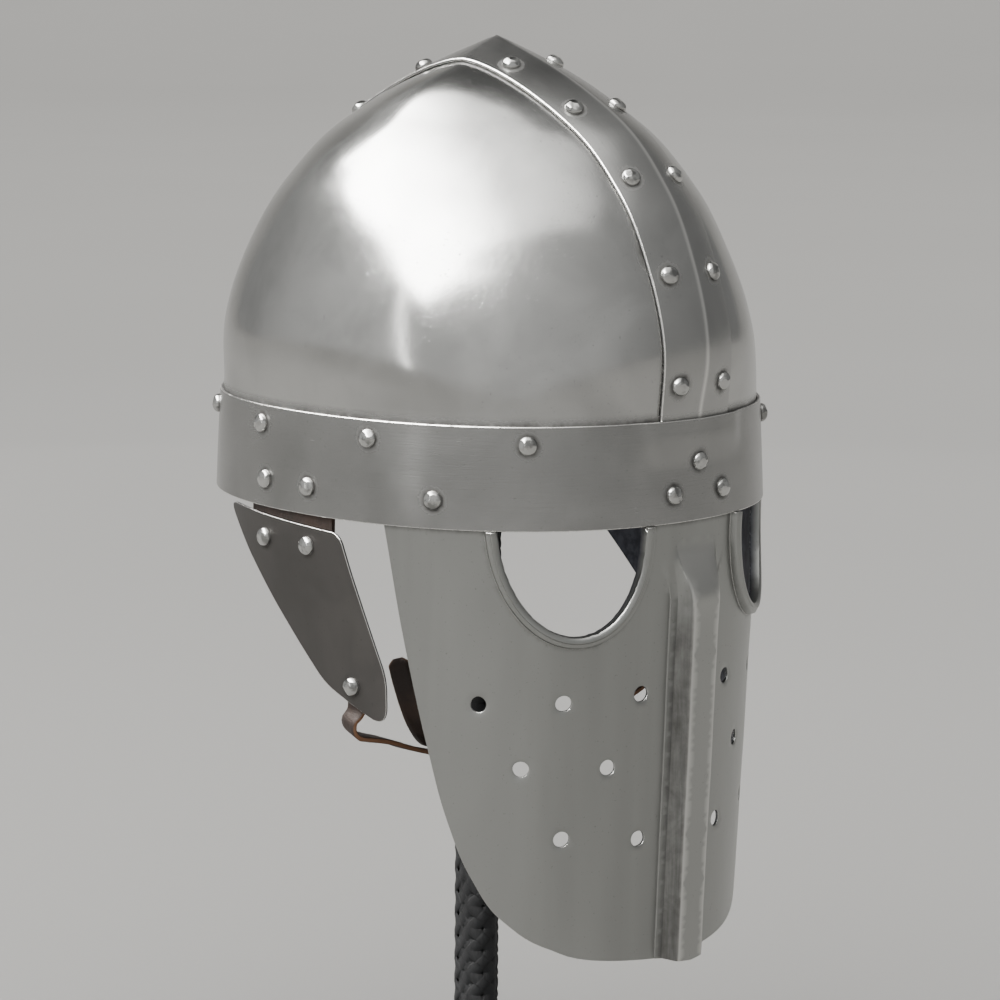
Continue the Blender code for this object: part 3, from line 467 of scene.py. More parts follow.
def grid_faces(rows, count, first=0, closed_row=True, closed_path=False):
    """Faces of a grid of points, row by row, that may close round its rows and along its path."""
    faces = []
    for i in range(rows if closed_path else rows - 1):
        low = first + i * count
        high = first + (i + 1) % rows * count
        for k in range(count if closed_row else count - 1):
            m = (k + 1) % count
            faces.append((low + k, low + m, high + m, high + k))
    return faces


def ring_loft(rings, closed_path=False):
    """Joins rings of equal point count into faces, with caps unless the path closes."""
    count = len(rings[0])
    faces = grid_faces(len(rings), count, closed_path=closed_path)
    if not closed_path:
        faces.append(tuple(range(count)))
        faces.append(tuple((len(rings) - 1) * count + k for k in range(count)))
    return [point for ring in rings for point in ring], faces


def inner_half(count, rings=1):
    """Marks the points of an inner face, which follow as many points of the outer face in each ring."""
    return np.tile(np.repeat([0.0, 1.0], count), rings)


def rivet_halo(verts):
    """Grime and painted shade round the feet of the rivets, from 0 to 1 at each point."""
    places = np.array([tuple(v) for v in verts])
    halo = np.zeros(len(places))
    for seat, _ in rivet_places().values():
        gap = np.linalg.norm(places - np.array(seat), axis=1) - RIVET_RADIUS
        halo = np.maximum(halo, 0.9 * np.clip(1 - gap / details().grime_and_shade_reach, 0, 1) ** 1.9)
    return halo


def seam_grime_and_shade(distances, share):
    """Grime and painted shade along a joint, from the distance to it."""
    return share * np.clip(1 - np.abs(np.array(distances)) / details().grime_and_shade_reach, 0, 1) ** 1.6


# Skull


def skull_section(z):
    """Half sizes, roundness in front and behind, and forward shift of the skull's outside at a height."""
    share = max(z / SKULL_HEIGHT, 0.0)
    inset = BROW_WALL + GAP
    half_y, half_x, front, rear = (curve_value(SKULL_SECTIONS, column, share) for column in (1, 2, 3, 4))
    half_x *= HALF_WIDTH - inset
    half_y *= HALF_LENGTH - inset
    return half_x, half_y, front, rear, -PEAK_FORWARD * share * share


def skull_point(angle, z):
    """Point of the skull's outside at an angle from the front and a height."""
    half_x, half_y, front, rear, shift = skull_section(z)
    blend = 0.5
    turn = smooth_step(math.cos(angle) / blend + 0.5)
    point, _ = oval(angle, half_x, half_y, rear + (front - rear) * turn)
    return Vector((point.x, point.y + shift, z))


def skull_measure(point):
    """Below zero inside the skull's outer surface, above zero outside it."""
    z = min(point.z, SKULL_HEIGHT)
    half_x, half_y, front, rear, shift = skull_section(z)
    y = point.y - shift
    power = front if y < 0 else rear
    if half_x < 1e-6:
        return math.hypot(point.x, y) + max(point.z - SKULL_HEIGHT, 0)
    reach = (abs(point.x / half_x) ** power + abs(y / half_y) ** power) ** (1 / power)
    return (reach - 1) * half_x + max(point.z - SKULL_HEIGHT, 0)


def skull_normal(angle, z):
    """Outward normal of the skull's outside."""
    step = 0.0004
    turn = 0.01
    low = max(z - step, -SKULL_LAP)
    high = min(z + step, SKULL_HEIGHT * 0.999)
    up = skull_point(angle, high) - skull_point(angle, low)
    round_way = skull_point(angle + turn, z) - skull_point(angle - turn, z)
    return round_way.cross(up).normalized()


def build_skull_half(side_name, side, finishes):
    """One raised half of the skull, planished a little unevenly between its bands."""
    segments = 64
    rings = 56
    clear_foot = 0.001
    clear_reach = 0.008
    heights = [-SKULL_LAP, -SKULL_LAP / 2]
    heights += [SKULL_HEIGHT * math.sin(math.pi / 2 * i / rings) for i in range(rings)]
    outer = []
    inner = []
    for z in heights:
        for k in range(segments + 1):
            angle = math.pi * k / segments
            point = skull_point(angle, z)
            normal = skull_normal(angle, z)
            if k in (0, segments):
                normal.x = 0
                normal.normalize()
            clear = smooth_step((z - clear_foot) / clear_reach)
            clear *= smooth_step((point.x - CREST_HALF_WIDTH) / clear_reach)
            place = Vector((side * point.x, point.y, point.z))
            lift = hammered(place, details().hammer_depth, details().hammer_size) * clear
            outer.append(point + normal * lift)
            inner.append(point + normal * (lift - SKULL_WALL))
    slope = skull_normal(0, SKULL_HEIGHT * 0.99).z
    outer.append(PEAK)
    inner.append(PEAK - Vector((0, 0, SKULL_WALL / slope)))
    row = segments + 1
    top = len(heights) - 1
    shift = len(outer)
    skin = grid_faces(len(heights), row, closed_row=False)
    skin += [(top * row + k, top * row + k + 1, shift - 1) for k in range(segments)]
    rim = list(range(row)) + [i * row + segments for i in range(1, top + 1)]
    rim += [shift - 1] + [i * row for i in range(top, 0, -1)]
    faces = skin + [tuple(v + shift for v in reversed(face)) for face in skin]
    faces += [(b, a, a + shift, b + shift) for a, b in zip(rim, rim[1:] + rim[:1])]
    verts = [Vector((side * (point.x + GAP / 2), point.y, point.z)) for point in outer + inner]
    inside = inner_half(shift)
    # Dirt and painted shade along the crest's edges and the brow band's top, and round the rivets; none on
    # the inner face
    seams = [min(max(v.z, 0) * 0.6, max(abs(v.x) - CREST_HALF_WIDTH, 0)) for v in verts]
    grime_and_shade = np.maximum(seam_grime_and_shade(seams, share=0.75), rivet_halo(verts)) * (1 - inside)
    return add_piece(
        f"skull_half_{side_name}", verts, faces, finishes, [f"bowl_{side_name}"],
        {"grime_and_shade": grime_and_shade, "inside": inside}, details().edge_round,
    )


# Crest band


def crest_path(count):
    """Stations over the skull in the middle plane: point, outward normal, share of the way to the peak."""
    samples = 400
    levels = [-CREST_LAP] + [SKULL_HEIGHT * math.sin(math.pi / 2 * i / samples) for i in range(samples)]
    halves = []
    for angle, way in ((0.0, 1), (math.pi, -1)):
        line = [skull_point(angle, z) for z in levels] + [PEAK]
        lengths = run_lengths(line)
        half = []
        for i in range(count):
            at = lengths[-1] * i / count
            point, along = point_along(line, lengths, at)
            along.normalize()
            share = (at - lengths[1]) / (lengths[-1] - lengths[1])
            half.append((point, Vector((0, -along.z, along.y)) * way, share))
        halves.append(half)
    return halves[0] + [(PEAK, Vector((0, 0, 1)), 1.0)] + halves[1][::-1]


def on_skull(point, normal, across):
    """Drops a point that stands beside the middle plane onto the skull, along a station's normal."""
    start = point + Vector((across, 0, 0))
    low = -0.06
    high = 0.01
    for _ in range(24):
        middle = (low + high) / 2
        if skull_measure(start + normal * middle) > 0:
            high = middle
        else:
            low = middle
    return start + normal * high


def crest_fold(across, share):
    """Height of the fold along the crest's middle, with a worn top."""
    height = CREST_FOLD_AT_BROW + (CREST_FOLD - CREST_FOLD_AT_BROW) * smooth_step(share / CREST_FOLD_START)
    worn = 0.0003
    out = math.hypot(across, worn) - worn
    return height * (1 - out / CREST_HALF_WIDTH)


def build_crest(finishes):
    """The folded strap of iron over the join of the skull."""
    stations = 78
    spread = 26
    calm_share = 0.08
    fold_wear_and_highlight_reach = 0.0016
    rings = []
    for point, normal, share in crest_path(stations):
        outer = []
        inner = []
        for k in range(spread + 1):
            across = (-1 + 2 * k / spread) * CREST_HALF_WIDTH
            foot = on_skull(point, normal, across)
            wander = max(hammered(foot, *CREST_HAMMERING), -CREST_SEAT / 2)
            lift = CREST_SEAT + crest_fold(across, share) + wander * smooth_step(share / calm_share)
            inner.append(foot + normal * lift)
            outer.append(foot + normal * (lift + CREST_WALL))
        rings.append(outer + inner[::-1])
    verts, faces = ring_loft(rings)
    marks = {
        # Dirt and painted shade round the rivets and along the brow band's top edge
        "grime_and_shade": np.maximum(rivet_halo(verts), seam_grime_and_shade([max(v.z, 0) for v in verts], share=0.6)),
        "inside": inner_half(spread + 1, len(rings)),
        # Rubbed bright along the fold's top: wear, with a painted highlight of the fold line
        "worn": [0.75 * max(0.0, 1 - abs(v.x) / fold_wear_and_highlight_reach) for v in verts],
    }
    return add_piece(
        "crest_strap", verts, faces, finishes, ["crest_band"], marks, details().edge_round
    )


# Brow band


def brow_bulge(x, z):
    """How far the brow band is hammered out over the crest's ends."""
    edge = CREST_HALF_WIDTH
    width = 1 - smooth_step((abs(x) - edge - BULGE_RIM) / BULGE_SHOULDER)
    fade = smooth_step(1 + (z + CREST_LAP + GAP) / BULGE_RUN_OUT)
    fold = CREST_FOLD_AT_BROW * max(0.0, 1 - abs(x) / edge)
    return (width * (CREST_SEAT + CREST_WALL + GAP / 3) + fold) * fade


def brow_skin(angle, z, depth=0.0):
    """A place on the brow band's outside, or a depth in from it."""
    base, normal = wrapped(angle * WRAP_RADIUS, z, brow_offset(z))
    return base + normal * (brow_bulge(base.x, z) - depth)


def build_brow(finishes):
    """The flared hoop round the head, with the crest's ends showing through it as low swellings."""
    around = 300
    bulge_end = -CREST_LAP - GAP
    start = bulge_end - BULGE_RUN_OUT
    heights = [bulge_end * i / 4 for i in range(4)]
    heights += [bulge_end - BULGE_RUN_OUT * i / 4 for i in range(4)]
    heights += [start - (BROW_HEIGHT + start) * i / 12 for i in range(13)]
    rings = []
    for angle in turns(around):
        outer = []
        inner = []
        for z in heights:
            place = brow_skin(angle, z)
            lift = hammered(place, *BROW_HAMMERING)
            outward = Vector((place.x, place.y, 0)).normalized()
            outer.append(place + outward * lift)
            inner.append(brow_skin(angle, z, BROW_WALL) + outward * max(lift, 0))
        rings.append(outer + inner[::-1])
    verts, faces = ring_loft(rings, closed_path=True)
    marks = {
        # Dirt and painted shade round the rivets and along the band's top edge, where the skull meets it
        "grime_and_shade": np.maximum(rivet_halo(verts), seam_grime_and_shade([v.z for v in verts], share=0.25)),
        "inside": inner_half(len(heights), len(rings)),
    }
    return add_piece(
        "brow_hoop", verts, faces, finishes, ["brow_band"], marks, details().edge_round
    )


# Sheets cut flat and bent round the helmet


def inside_loop(loop, xs, ys):
    """Marks which of many points lie inside a closed loop."""
    hit = np.zeros(len(xs), dtype=bool)
    for (ax, ay), (bx, by) in zip(loop, loop[1:] + loop[:1]):
        if ay == by:
            continue
        crosses = (ay > ys) != (by > ys)
        hit ^= crosses & (xs < (bx - ax) * (ys - ay) / (by - ay) + ax)
    return hit


def spaced(points, step):
    """Adds points along a line so that no stretch is longer than a step."""
    result = [points[0]]
    for a, b in zip(points, points[1:]):
        parts = max(1, math.ceil(math.dist(a, b) / step - 1e-6))
        for i in range(1, parts + 1):
            result.append((a[0] + (b[0] - a[0]) * i / parts, a[1] + (b[1] - a[1]) * i / parts))
    return result


def rounded(corners, steps):
    """A closed outline through corners, each with its own radius."""
    loop = []
    for i, (x, y, radius) in enumerate(corners):
        here = Vector((x, y))
        back = Vector(corners[i - 1][:2]) - here
        ahead = Vector(corners[(i + 1) % len(corners)][:2]) - here
        turn = back.angle(ahead)
        cut = min(radius / math.tan(turn / 2), 0.45 * back.length, 0.45 * ahead.length)
        start = here + back.normalized() * cut
        end = here + ahead.normalized() * cut
        for k in range(steps + 1):
            t = k / steps
            point = start * (1 - t) ** 2 + here * 2 * t * (1 - t) + end * t * t
            loop.append((point.x, point.y))
    return loop


def cut_sheet(outline, holes, guides, step):
    """Fills a flat pattern with small triangles that keep its outline, its holes and its guide lines."""
    row_height = 0.87 * step
    clear = 0.6 * step
    merge = 1e-7
    points = []
    edges = []
    for line in [loop + loop[:1] for loop in [outline] + holes] + guides:
        start = len(points)
        points += line
        edges += [(start + i, start + i + 1) for i in range(len(line) - 1)]
    fixed = np.array(points)
    low = fixed.min(axis=0)
    high = fixed.max(axis=0)
    columns = max(2, round((high[0] - low[0]) / step))
    rows = max(2, round((high[1] - low[1]) / row_height))
    for j in range(1, rows):
        for i in range(1, columns):
            x = low[0] + (high[0] - low[0]) * (i + 0.5 * (j % 2)) / columns
            y = low[1] + (high[1] - low[1]) * j / rows
            if np.hypot(fixed[:, 0] - x, fixed[:, 1] - y).min() > clear:
                points.append((x, y))
    flat, _, faces, _, _, _ = delaunay_2d_cdt([Vector(p) for p in points], edges, [], 0, merge)
    places = np.array([(p.x, p.y) for p in flat])
    middles = np.array([places[list(face)].mean(axis=0) for face in faces])
    keep = inside_loop(outline, middles[:, 0], middles[:, 1])
    for hole in holes:
        keep &= ~inside_loop(hole, middles[:, 0], middles[:, 1])
    kept = [face for face, stays in zip(faces, keep) if stays]
    used = sorted({i for face in kept for i in face})
    order = {old: new for new, old in enumerate(used)}
    return [(flat[i].x, flat[i].y) for i in used], [tuple(order[i] for i in face) for face in kept]


def bent_sheet(flat, faces, skin, wall):
    """Gives a cut sheet its outer and inner face, a wall apart, and the walls along its edges."""
    count = len(flat)
    verts = [skin(x, z, depth) for depth in (0.0, wall) for x, z in flat]
    border = {}
    for face in faces:
        for a, b in zip(face, face[1:] + face[:1]):
            if (b, a) in border:
                del border[(b, a)]
            else:
                border[(a, b)] = True
    solid = list(faces) + [tuple(i + count for i in reversed(face)) for face in faces]
    return verts, solid + [(b, a, a + count, b + count) for a, b in border]


def plain_sheet(corners, steps, skin, wall):
    """A bent sheet without holes, from rounded corners."""
    loop = rounded(corners, steps)
    step = details().sheet_step
    flat, faces = cut_sheet(spaced(loop + loop[:1], step)[:-1], [], [], step)
    return bent_sheet(flat, faces, skin, wall)


# Face plate


def face_offset(z):
    """Outside of the face plate: against the brow band, then leaning back below it."""
    return under_brow(z) - FACE_LEAN * max(0.0, -z - BROW_HEIGHT)


def face_outline(step):
    """The plate's edge in the flat: a straight top, sides that draw in, and a level foot."""
    side = []
    for i in range(61):
        drop = math.sin(math.pi / 2 * i / 60)
        side.append((curve_value(FACE_EDGE, 1, drop) * FACE_HALF_ARC, -BROW_HEIGHT - drop * FACE_DROP))
    side[-1] = (0.0, -BROW_HEIGHT - FACE_DROP)
    top = -BROW_HEIGHT + FACE_LAP
    half = spaced([(0.0, top), (FACE_HALF_ARC, top)] + side, step)[1:]
    return half + [(-arc, z) for arc, z in half[-2::-1]] + [(0.0, top)]


def eye_line(grow, side, rough=0.0):
    """The eye opening's edge, filed a little unevenly, or a line that runs outside it by a distance."""
    steps = 72
    top = -BROW_HEIGHT + EYE_TUCK
    line = []
    for k in range(steps + 1):
        turn = math.pi * k / steps
        filed = grow + rough * noise.noise(Vector((side * 7, k * 0.61, 0)))
        drop = math.sin(turn) * (EYE_DEPTH + filed)
        middle = EYE_MIDDLE - EYE_NOSEWARD * drop / EYE_DEPTH
        line.append((side * (middle + math.cos(turn) * (EYE_HALF_WIDTH + filed)), -BROW_HEIGHT - drop))
    return [(line[0][0], top)] + line + [(line[-1][0], top)]


def eye_distance(arc, z):
    """How far a pattern point lies outside the eye opening on its side."""
    arc = abs(arc)
    drop = max(0.0, -z - BROW_HEIGHT)
    across = arc - (EYE_MIDDLE - EYE_NOSEWARD * drop / EYE_DEPTH)
    low = -EYE_HALF_WIDTH * 0.9
    high = 0.2
    for _ in range(22):
        grow = (low + high) / 2
        if (across / (EYE_HALF_WIDTH + grow)) ** 2 + (drop / (EYE_DEPTH + grow)) ** 2 > 1:
            low = grow
        else:
            high = grow
    return high


def rim_lift(arc, z):
    """Height of the rim round the eye, cut off level just under the brow band."""
    share = eye_distance(arc, z) / RIM_WIDTH
    if share >= 1:
        return 0.0
    below = min(max((-z - BROW_HEIGHT) / GAP, 0.0), 1.0)
    height = np.interp(share, [row[0] for row in RIM_SECTION], [row[1] for row in RIM_SECTION])
    return float(height) * RIM_PROUD * below


def ridge_places(drawn_in):
    """Distances out from the ridge's middle at which its section bends."""
    places = []
    for width, splay, fillet, _ in RIDGE_SECTION:
        places.append(width * (RIDGE_HALF_WIDTH - drawn_in) + splay * RIDGE_SPLAY + fillet * RIDGE_FILLET)
    return places


def ridge_flare(z):
    """How much wider the ridge is where it runs out into the plate under the brow band."""
    return 1 + RIDGE_NECK * (1 - smooth_step((-z - BROW_HEIGHT - RIDGE_START) / RIDGE_RUN_OUT))


def ridge_lift(arc, z, drawn_in):
    """Height of the nasal ridge, on the outside or, drawn in by the wall, on the inside."""
    depth = -z - BROW_HEIGHT - RIDGE_START
    across = abs(arc) / ridge_flare(z)
    share = np.interp(across, ridge_places(drawn_in), [row[3] for row in RIDGE_SECTION])
    return float(share) * RIDGE_PROUD * smooth_step(depth / RIDGE_RUN_OUT)


def breath_middles():
    """Middles of the breath holes in the flat pattern."""
    middles = []
    for side in (-1, 1):
        for share, drop in BREATH_HOLES:
            middles.append((side * share * FACE_HALF_ARC, -BROW_HEIGHT - drop * FACE_DROP))
    return middles


def face_guides(burr):
    """Lines in the flat pattern that the plate's rims and folds lie on."""
    top = -BROW_HEIGHT - RIDGE_START
    foot = -BROW_HEIGHT - FACE_DROP * 1.02
    levels = [top - (top - foot) * i / 60 for i in range(61)]
    guides = []
    for side in (-1, 1):
        guides += [eye_line(share * RIM_WIDTH, side) for share, _ in RIM_SECTION[1:]]
        for level in (-BROW_HEIGHT, -BROW_HEIGHT - GAP):
            for edge in (-1, 1):
                start = EYE_MIDDLE + edge * EYE_HALF_WIDTH
                guides.append([(side * (start + edge * out), level) for out in (burr, RIM_WIDTH)])
        for arc in ridge_places(0.0)[1:]:
            guides.append([(side * arc * ridge_flare(z), z) for z in levels])
    return guides


def face_marks(flat):
    """Grime with painted shade, and rubbing with painted highlights, on the face plate's outside, at each
    point of its flat pattern.
    """
    corner_painted_shade = 0.72
    wall_painted_shade = 0.35
    neck_painted_highlight = 0.3
    bevel_wear_and_highlight = 0.5
    ridge_painted_highlight = 0.06
    places = ridge_places(0.0)
    bevel = places[2] * 0.999
    top = places[3]
    corner = places[6]
    foot = places[-1]
    seams = []
    lines = []
    walls = []
    rubbed = []
    for arc, z in flat:
        under = max(-z - BROW_HEIGHT, 0)
        depth = (under - RIDGE_START) / RIDGE_RUN_OUT
        across = abs(arc) / ridge_flare(z)
        # Dirt and painted shade round the eye rims and under the brow band
        seams.append(min(under * 0.9, abs(eye_distance(arc, z) - RIM_WIDTH) * 1.5 + 0.0006))
        # Painted shade along the ridge's foot, where it meets the plate
        lines.append(abs(across - foot) * 0.9 + (0 if depth > 0.5 else 1))
        # Painted shade on the ridge's walls, darkest from its top to its corner: their dark reflection
        # painted into the colour
        dark = corner_painted_shade if top < across < corner else wall_painted_shade
        walls.append(dark * smooth_step(depth / 1.8) if top < across < foot * 1.02 else 0.0)
        # Painted highlight on the ridge's neck and top; along its top corner, wear with a painted highlight
        neck = neck_painted_highlight * smooth_step(depth * 4) * (1 - smooth_step(depth / 1.6)) + ridge_painted_highlight
        line = bevel_wear_and_highlight * smooth_step(depth) if bevel < across < top * 1.001 else 0.0
        rubbed.append(max(neck, line) if depth > 0 and across < top * 1.001 else 0.0)
    grime_and_shade = np.maximum(seam_grime_and_shade(seams, share=0.6), seam_grime_and_shade(lines, share=0.32))
    return np.maximum(grime_and_shade, walls), np.array(rubbed)


def build_face(finishes):
    """One plate for the whole face, with rimmed eyes, a boxed nasal ridge and drilled breath holes."""
    burr = 0.00045
    sunk = 0.6 * burr
    calm = 0.01
    holes = [eye_line(0.0, side, rough=0.00028) for side in (-1, 1)]
    guides = face_guides(burr)
    for number, (x, z) in enumerate(breath_middles()):
        for grow, keep in ((0.0, holes), (burr, guides)):
            ring = []
            for turn in turns(24):
                worn = 1 + 0.05 * noise.noise(Vector((number * 3.7, math.cos(turn), math.sin(turn))))
                reach = BREATH_RADIUS * worn + grow
                ring.append((x + reach * math.cos(turn), z + reach * math.sin(turn)))
            keep.append(ring if keep is holes else ring + ring[:1])
    step = details().sheet_step
    flat, faces = cut_sheet(face_outline(step), holes, guides, step)
    middles = np.array(breath_middles())

    def skin(arc, z, depth):
        place, normal = wrapped(arc, z, face_offset(z))
        lift = ridge_lift(arc, z, depth) - depth
        if z < -BROW_HEIGHT:
            lift += hammered(place, *FACE_HAMMERING) * smooth_step((-z - BROW_HEIGHT) / calm)
        if depth == 0:
            near = np.hypot(middles[:, 0] - arc, middles[:, 1] - z).min() - BREATH_RADIUS
            lift += rim_lift(arc, z) - (sunk if near < sunk else 0.0)
        return place + normal * lift

    verts, solid = bent_sheet(flat, faces, skin, FACE_WALL)
    inside = inner_half(len(flat))
    bare = np.zeros(len(flat))
    grime_and_shade, rubbed = face_marks(flat)
    marks = {
        "grime_and_shade": np.maximum(np.concatenate([grime_and_shade, bare]), rivet_halo(verts) * (1 - inside)),
        "inside": inside,
        # Rubbed bright: wear, and painted highlights on the ridge
        "worn": np.concatenate([rubbed, bare]),
    }
    edge_round = 0.8 * details().edge_round
    return add_piece("face_mask", verts, solid, finishes, ["face_plate"], marks, edge_round)


# Cheek plates and their leather


def cheek_offset(z):
    """Inside of the cheek plate, which leans in a little below the leather."""
    below = max(0.0, -z - BROW_HEIGHT - HINGE_DROP)
    return under_brow(-BROW_HEIGHT) + GAP - CHEEK_LEAN * below


def cheek_point(share_back, share_down):
    """Place in the flat pattern from the cheek plate's own shares."""
    return CHEEK_FRONT + share_back * CHEEK_ARC, -BROW_HEIGHT - CHEEK_TOP - share_down * CHEEK_LENGTH


def hinge_middle():
    """Arc of the middle of the hinge leather, between the plate's upper rivets."""
    return CHEEK_FRONT + HINGE_PLACE * CHEEK_ARC


def build_cheek(side_name, side, finishes):
    """A hung plate that narrows to a rounded tip."""

    def skin(arc, z, depth):
        place, normal = wrapped(side * arc, z, cheek_offset(z) + CHEEK_WALL)
        return place + normal * (max(hammered(place, *CHEEK_HAMMERING), 0) - depth)

    corners = [(*cheek_point(back, down), radius) for back, down, radius in CHEEK_CORNERS]
    verts, solid = plain_sheet(corners, 9, skin, CHEEK_WALL)
    inside = inner_half(len(verts) // 2)
    # Dirt and painted shade round the rivets, on the plate's outside only
    return add_piece(
        f"cheek_guard_{side_name}", verts, solid, finishes, [f"cheek_plate_{side_name}"],
        {"grime_and_shade": rivet_halo(verts) * (1 - inside), "inside": inside}, details().edge_round,
    )


def build_hinge(side_name, side, finishes):
    """Leather behind the cheek plate, a little cockled, riveted to the brow band's inside."""

    def skin(arc, z, depth):
        place, normal = wrapped(side * arc, z, under_brow(z))
        return place + normal * (min(hammered(place, *LEATHER_COCKLING), 0) - depth)

    top = -BROW_HEIGHT + HINGE_LAP
    foot = -BROW_HEIGHT - HINGE_DROP
    knee = (foot - BROW_HEIGHT) / 2
    tight = 0.003
    wide = 0.004
    edge = [(-1, top, tight), (1, top, tight), (1, knee, wide)]
    edge += [(0.7, foot, wide), (-0.9, foot, wide), (-1, knee, wide)]
    corners = [(hinge_middle() + share * HINGE_HALF_ARC, z, radius) for share, z, radius in edge]
    verts, solid = plain_sheet(corners, 6, skin, LEATHER_WALL)
    return add_piece(
        f"hinge_leather_{side_name}", verts, solid, finishes, [f"cheek_hinge_{side_name}"],
        {"edge": [0.0] * len(verts)}, 0.0005,
    )


# Chin strap


def strap_hang(side, z, inset):
    """A place on the inside of a cheek plate's tip, where the strap is riveted."""
    point, normal = wrapped(side * STRAP_ARC, z, cheek_offset(z))
    return point - normal * inset


def chin_level(x, half, top):
    """Height of the strap's hanging run under the chin."""
    return top - STRAP_SAG * (1 - (x / half) ** 2)


def smooth_route(points, step):
    """A smooth curve through points, read off at even steps."""
    pts = [Vector(p) for p in points]
    pts = [2 * pts[0] - pts[1]] + pts + [2 * pts[-1] - pts[-2]]
    dense = []
    for i in range(1, len(pts) - 2):
        a, b, c, d = pts[i - 1 : i + 3]
        for k in range(16):
            t = k / 16
            square = (2 * a - 5 * b + 4 * c - d) * t * t
            dense.append(0.5 * (2 * b + (c - a) * t + square + (3 * b - a - 3 * c + d) * t**3))
    dense.append(pts[-2])
    lengths = run_lengths(dense)
    count = max(2, round(lengths[-1] / step))
    return [point_along(dense, lengths, lengths[-1] * i / count)[0] for i in range(count + 1)]


def strap_section():
    """Points round a strap's section: across share, thickness share, and how much of a cut edge each is."""
    under = [(-0.90, 0.2), (-0.45, 0.0), (0.0, 0.0), (0.45, 0.0), (0.90, 0.2)]
    half = [(across, -1.0, cut) for across, cut in under] + [(0.99, -0.6, 1.0), (0.99, 0.6, 1.0)]
    return half + [(-across, -thick, cut) for across, thick, cut in half]


def build_strap(name, points, widths, node, finishes, lumpy_end=False):
    """A flat strap along its route, with worn edges and small creases across it."""
    route = smooth_route(points, 0.0012)
    last = len(route) - 1
    rings = []
    edge = []
    shares = [row[0] for row in widths]
    for i, point in enumerate(route):
        along = (route[min(i + 1, last)] - route[max(i - 1, 0)]).normalized()
        share = i / last
        width = Vector([float(np.interp(share, shares, [row[c] for row in widths])) for c in (1, 2, 3)])
        width = (width - along * width.dot(along)).normalized()
        up = along.cross(width)
        narrow = 0.97 + 0.035 * noise.noise(Vector((i * 0.11, 3, 1)))
        crease = 0.92 + 0.10 * noise.noise(Vector((i * 0.5, 0, 8)))
        end = min(i, last - i)
        taper = min(1.0, 0.45 + 0.3 * end)
        if lumpy_end:
            near = smooth_step(1 - (last - i) / 6)
            narrow += near * 0.35 * abs(noise.noise(Vector((i * 0.9, 1, 4))))
            crease += near * 0.45
        ring = []
        for across, thick, cut in strap_section():
            ragged = 1 + 0.03 * noise.noise(Vector((i * 0.7, across * 3, 5))) * cut
            side = width * across * STRAP_WIDTH / 2 * narrow * ragged * taper
            ring.append(point + side + up * thick * STRAP_WALL / 2 * crease * min(1.0, 0.6 + 0.2 * end))
            edge.append(cut)
        rings.append(ring)
    verts, faces = ring_loft(rings)
    return add_piece(name, verts, faces, finishes, [node], {"edge": edge}, sharp=60)


def strap_frame():
    """Shared places of the strap: inset from the plates, rivet level, half length and top of its run."""
    inset = 2 * GAP + STRAP_WALL / 2
    level = cheek_point(0, STRAP_PLACE)[1]
    half = abs(strap_hang(-1, level, inset).x) - STRAP_TURN
    return inset, level, half, level - 2.5 * RIVET_RADIUS - 1.7 * STRAP_TURN


def strap_start(side):
    """The strap's points on the inside of one cheek plate and round its loose turn below the tip."""
    inset, level, _, _ = strap_frame()
    low = strap_hang(side, level - 2.5 * RIVET_RADIUS, inset)
    return [
        strap_hang(side, level + 1.6 * RIVET_RADIUS, inset),
        strap_hang(side, level, inset),
        low,
        low + Vector((side * 0.35 * STRAP_TURN, 0.3 * STRAP_TURN, -0.8 * STRAP_TURN)),
        low + Vector((-side * 0.2 * STRAP_TURN, 0.3 * STRAP_TURN, -1.7 * STRAP_TURN)),
    ]


def build_straps(finishes):
    """Both lengths of the chin strap."""
    _, _, half, top = strap_frame()

    def hanging(share, over=0.0):
        return Vector((share * half, -STRAP_BACK, chin_level(share * half, half, top) + over))

    short = strap_start(-1) + [hanging(-share) for share in SHORT_RUN]
    build_strap("strap_short_length", short, SHORT_WIDTHS, "chin_strap_short", finishes)
    long = strap_start(1) + [hanging(share, STRAP_WALL + GAP) for share in LONG_RUN]
    tail = long[-1]
    long += [tail + Vector((-along, 0, up)) * STRAP_TAIL for along, up in TAIL_CURVE]
    build_strap("strap_long_length", long, LONG_WIDTHS, "chin_strap_long", finishes, lumpy_end=True)


def build_slide(finishes):
    """The plain bent-wire loop that holds the two lengths together."""
    _, _, half, top = strap_frame()
    x = SLIDE_PLACE * half
    slope = 2 * STRAP_SAG * x / half**2
    along = Vector((1, 0, slope)).normalized()
    up = Vector((-along.z, 0, along.x))
    middle = Vector((x, -STRAP_BACK, chin_level(x, half, top))) + up * (STRAP_WALL + GAP) / 2
    half_wide = STRAP_WIDTH / 2 + 2 * GAP + SLIDE_WIRE / 2
    half_tall = STRAP_WALL + 3 * GAP + SLIDE_WIRE / 2
    corner = 0.0012
    rings = []
    for turn_at, wide, tall in ((-135, -1, -1), (-45, 1, -1), (45, 1, 1), (135, -1, 1)):
        for k in range(7):
            turn = math.radians(turn_at - 45 + 90 * k / 6)
            out = Vector((0, math.cos(turn), 0)) + up * math.sin(turn)
            hub = middle + Vector((0, wide * (half_wide - corner), 0)) + up * tall * (half_tall - corner)
            ring = []
            for spin in turns(16):
                flat = math.copysign(abs(math.cos(spin)) ** 0.55, math.cos(spin))
                thick = math.copysign(abs(math.sin(spin)) ** 0.8, math.sin(spin))
                ring.append(hub + out * (corner + thick * SLIDE_WIRE / 2) + along * flat * SLIDE_LENGTH / 2)
            rings.append(ring)
    verts, faces = ring_loft(rings, closed_path=True)
    marks = {"grime_and_shade": [0.25] * len(verts), "inside": [0.0] * len(verts)}
    return add_piece("strap_loop", verts, faces, finishes, ["chin_slide"], marks)


# Rivets


def crest_top(point, normal, across, share):
    """A place on the crest's outside."""
    return on_skull(point, normal, across) + normal * (CREST_SEAT + crest_fold(across, share) + CREST_WALL)


SEATS = {}


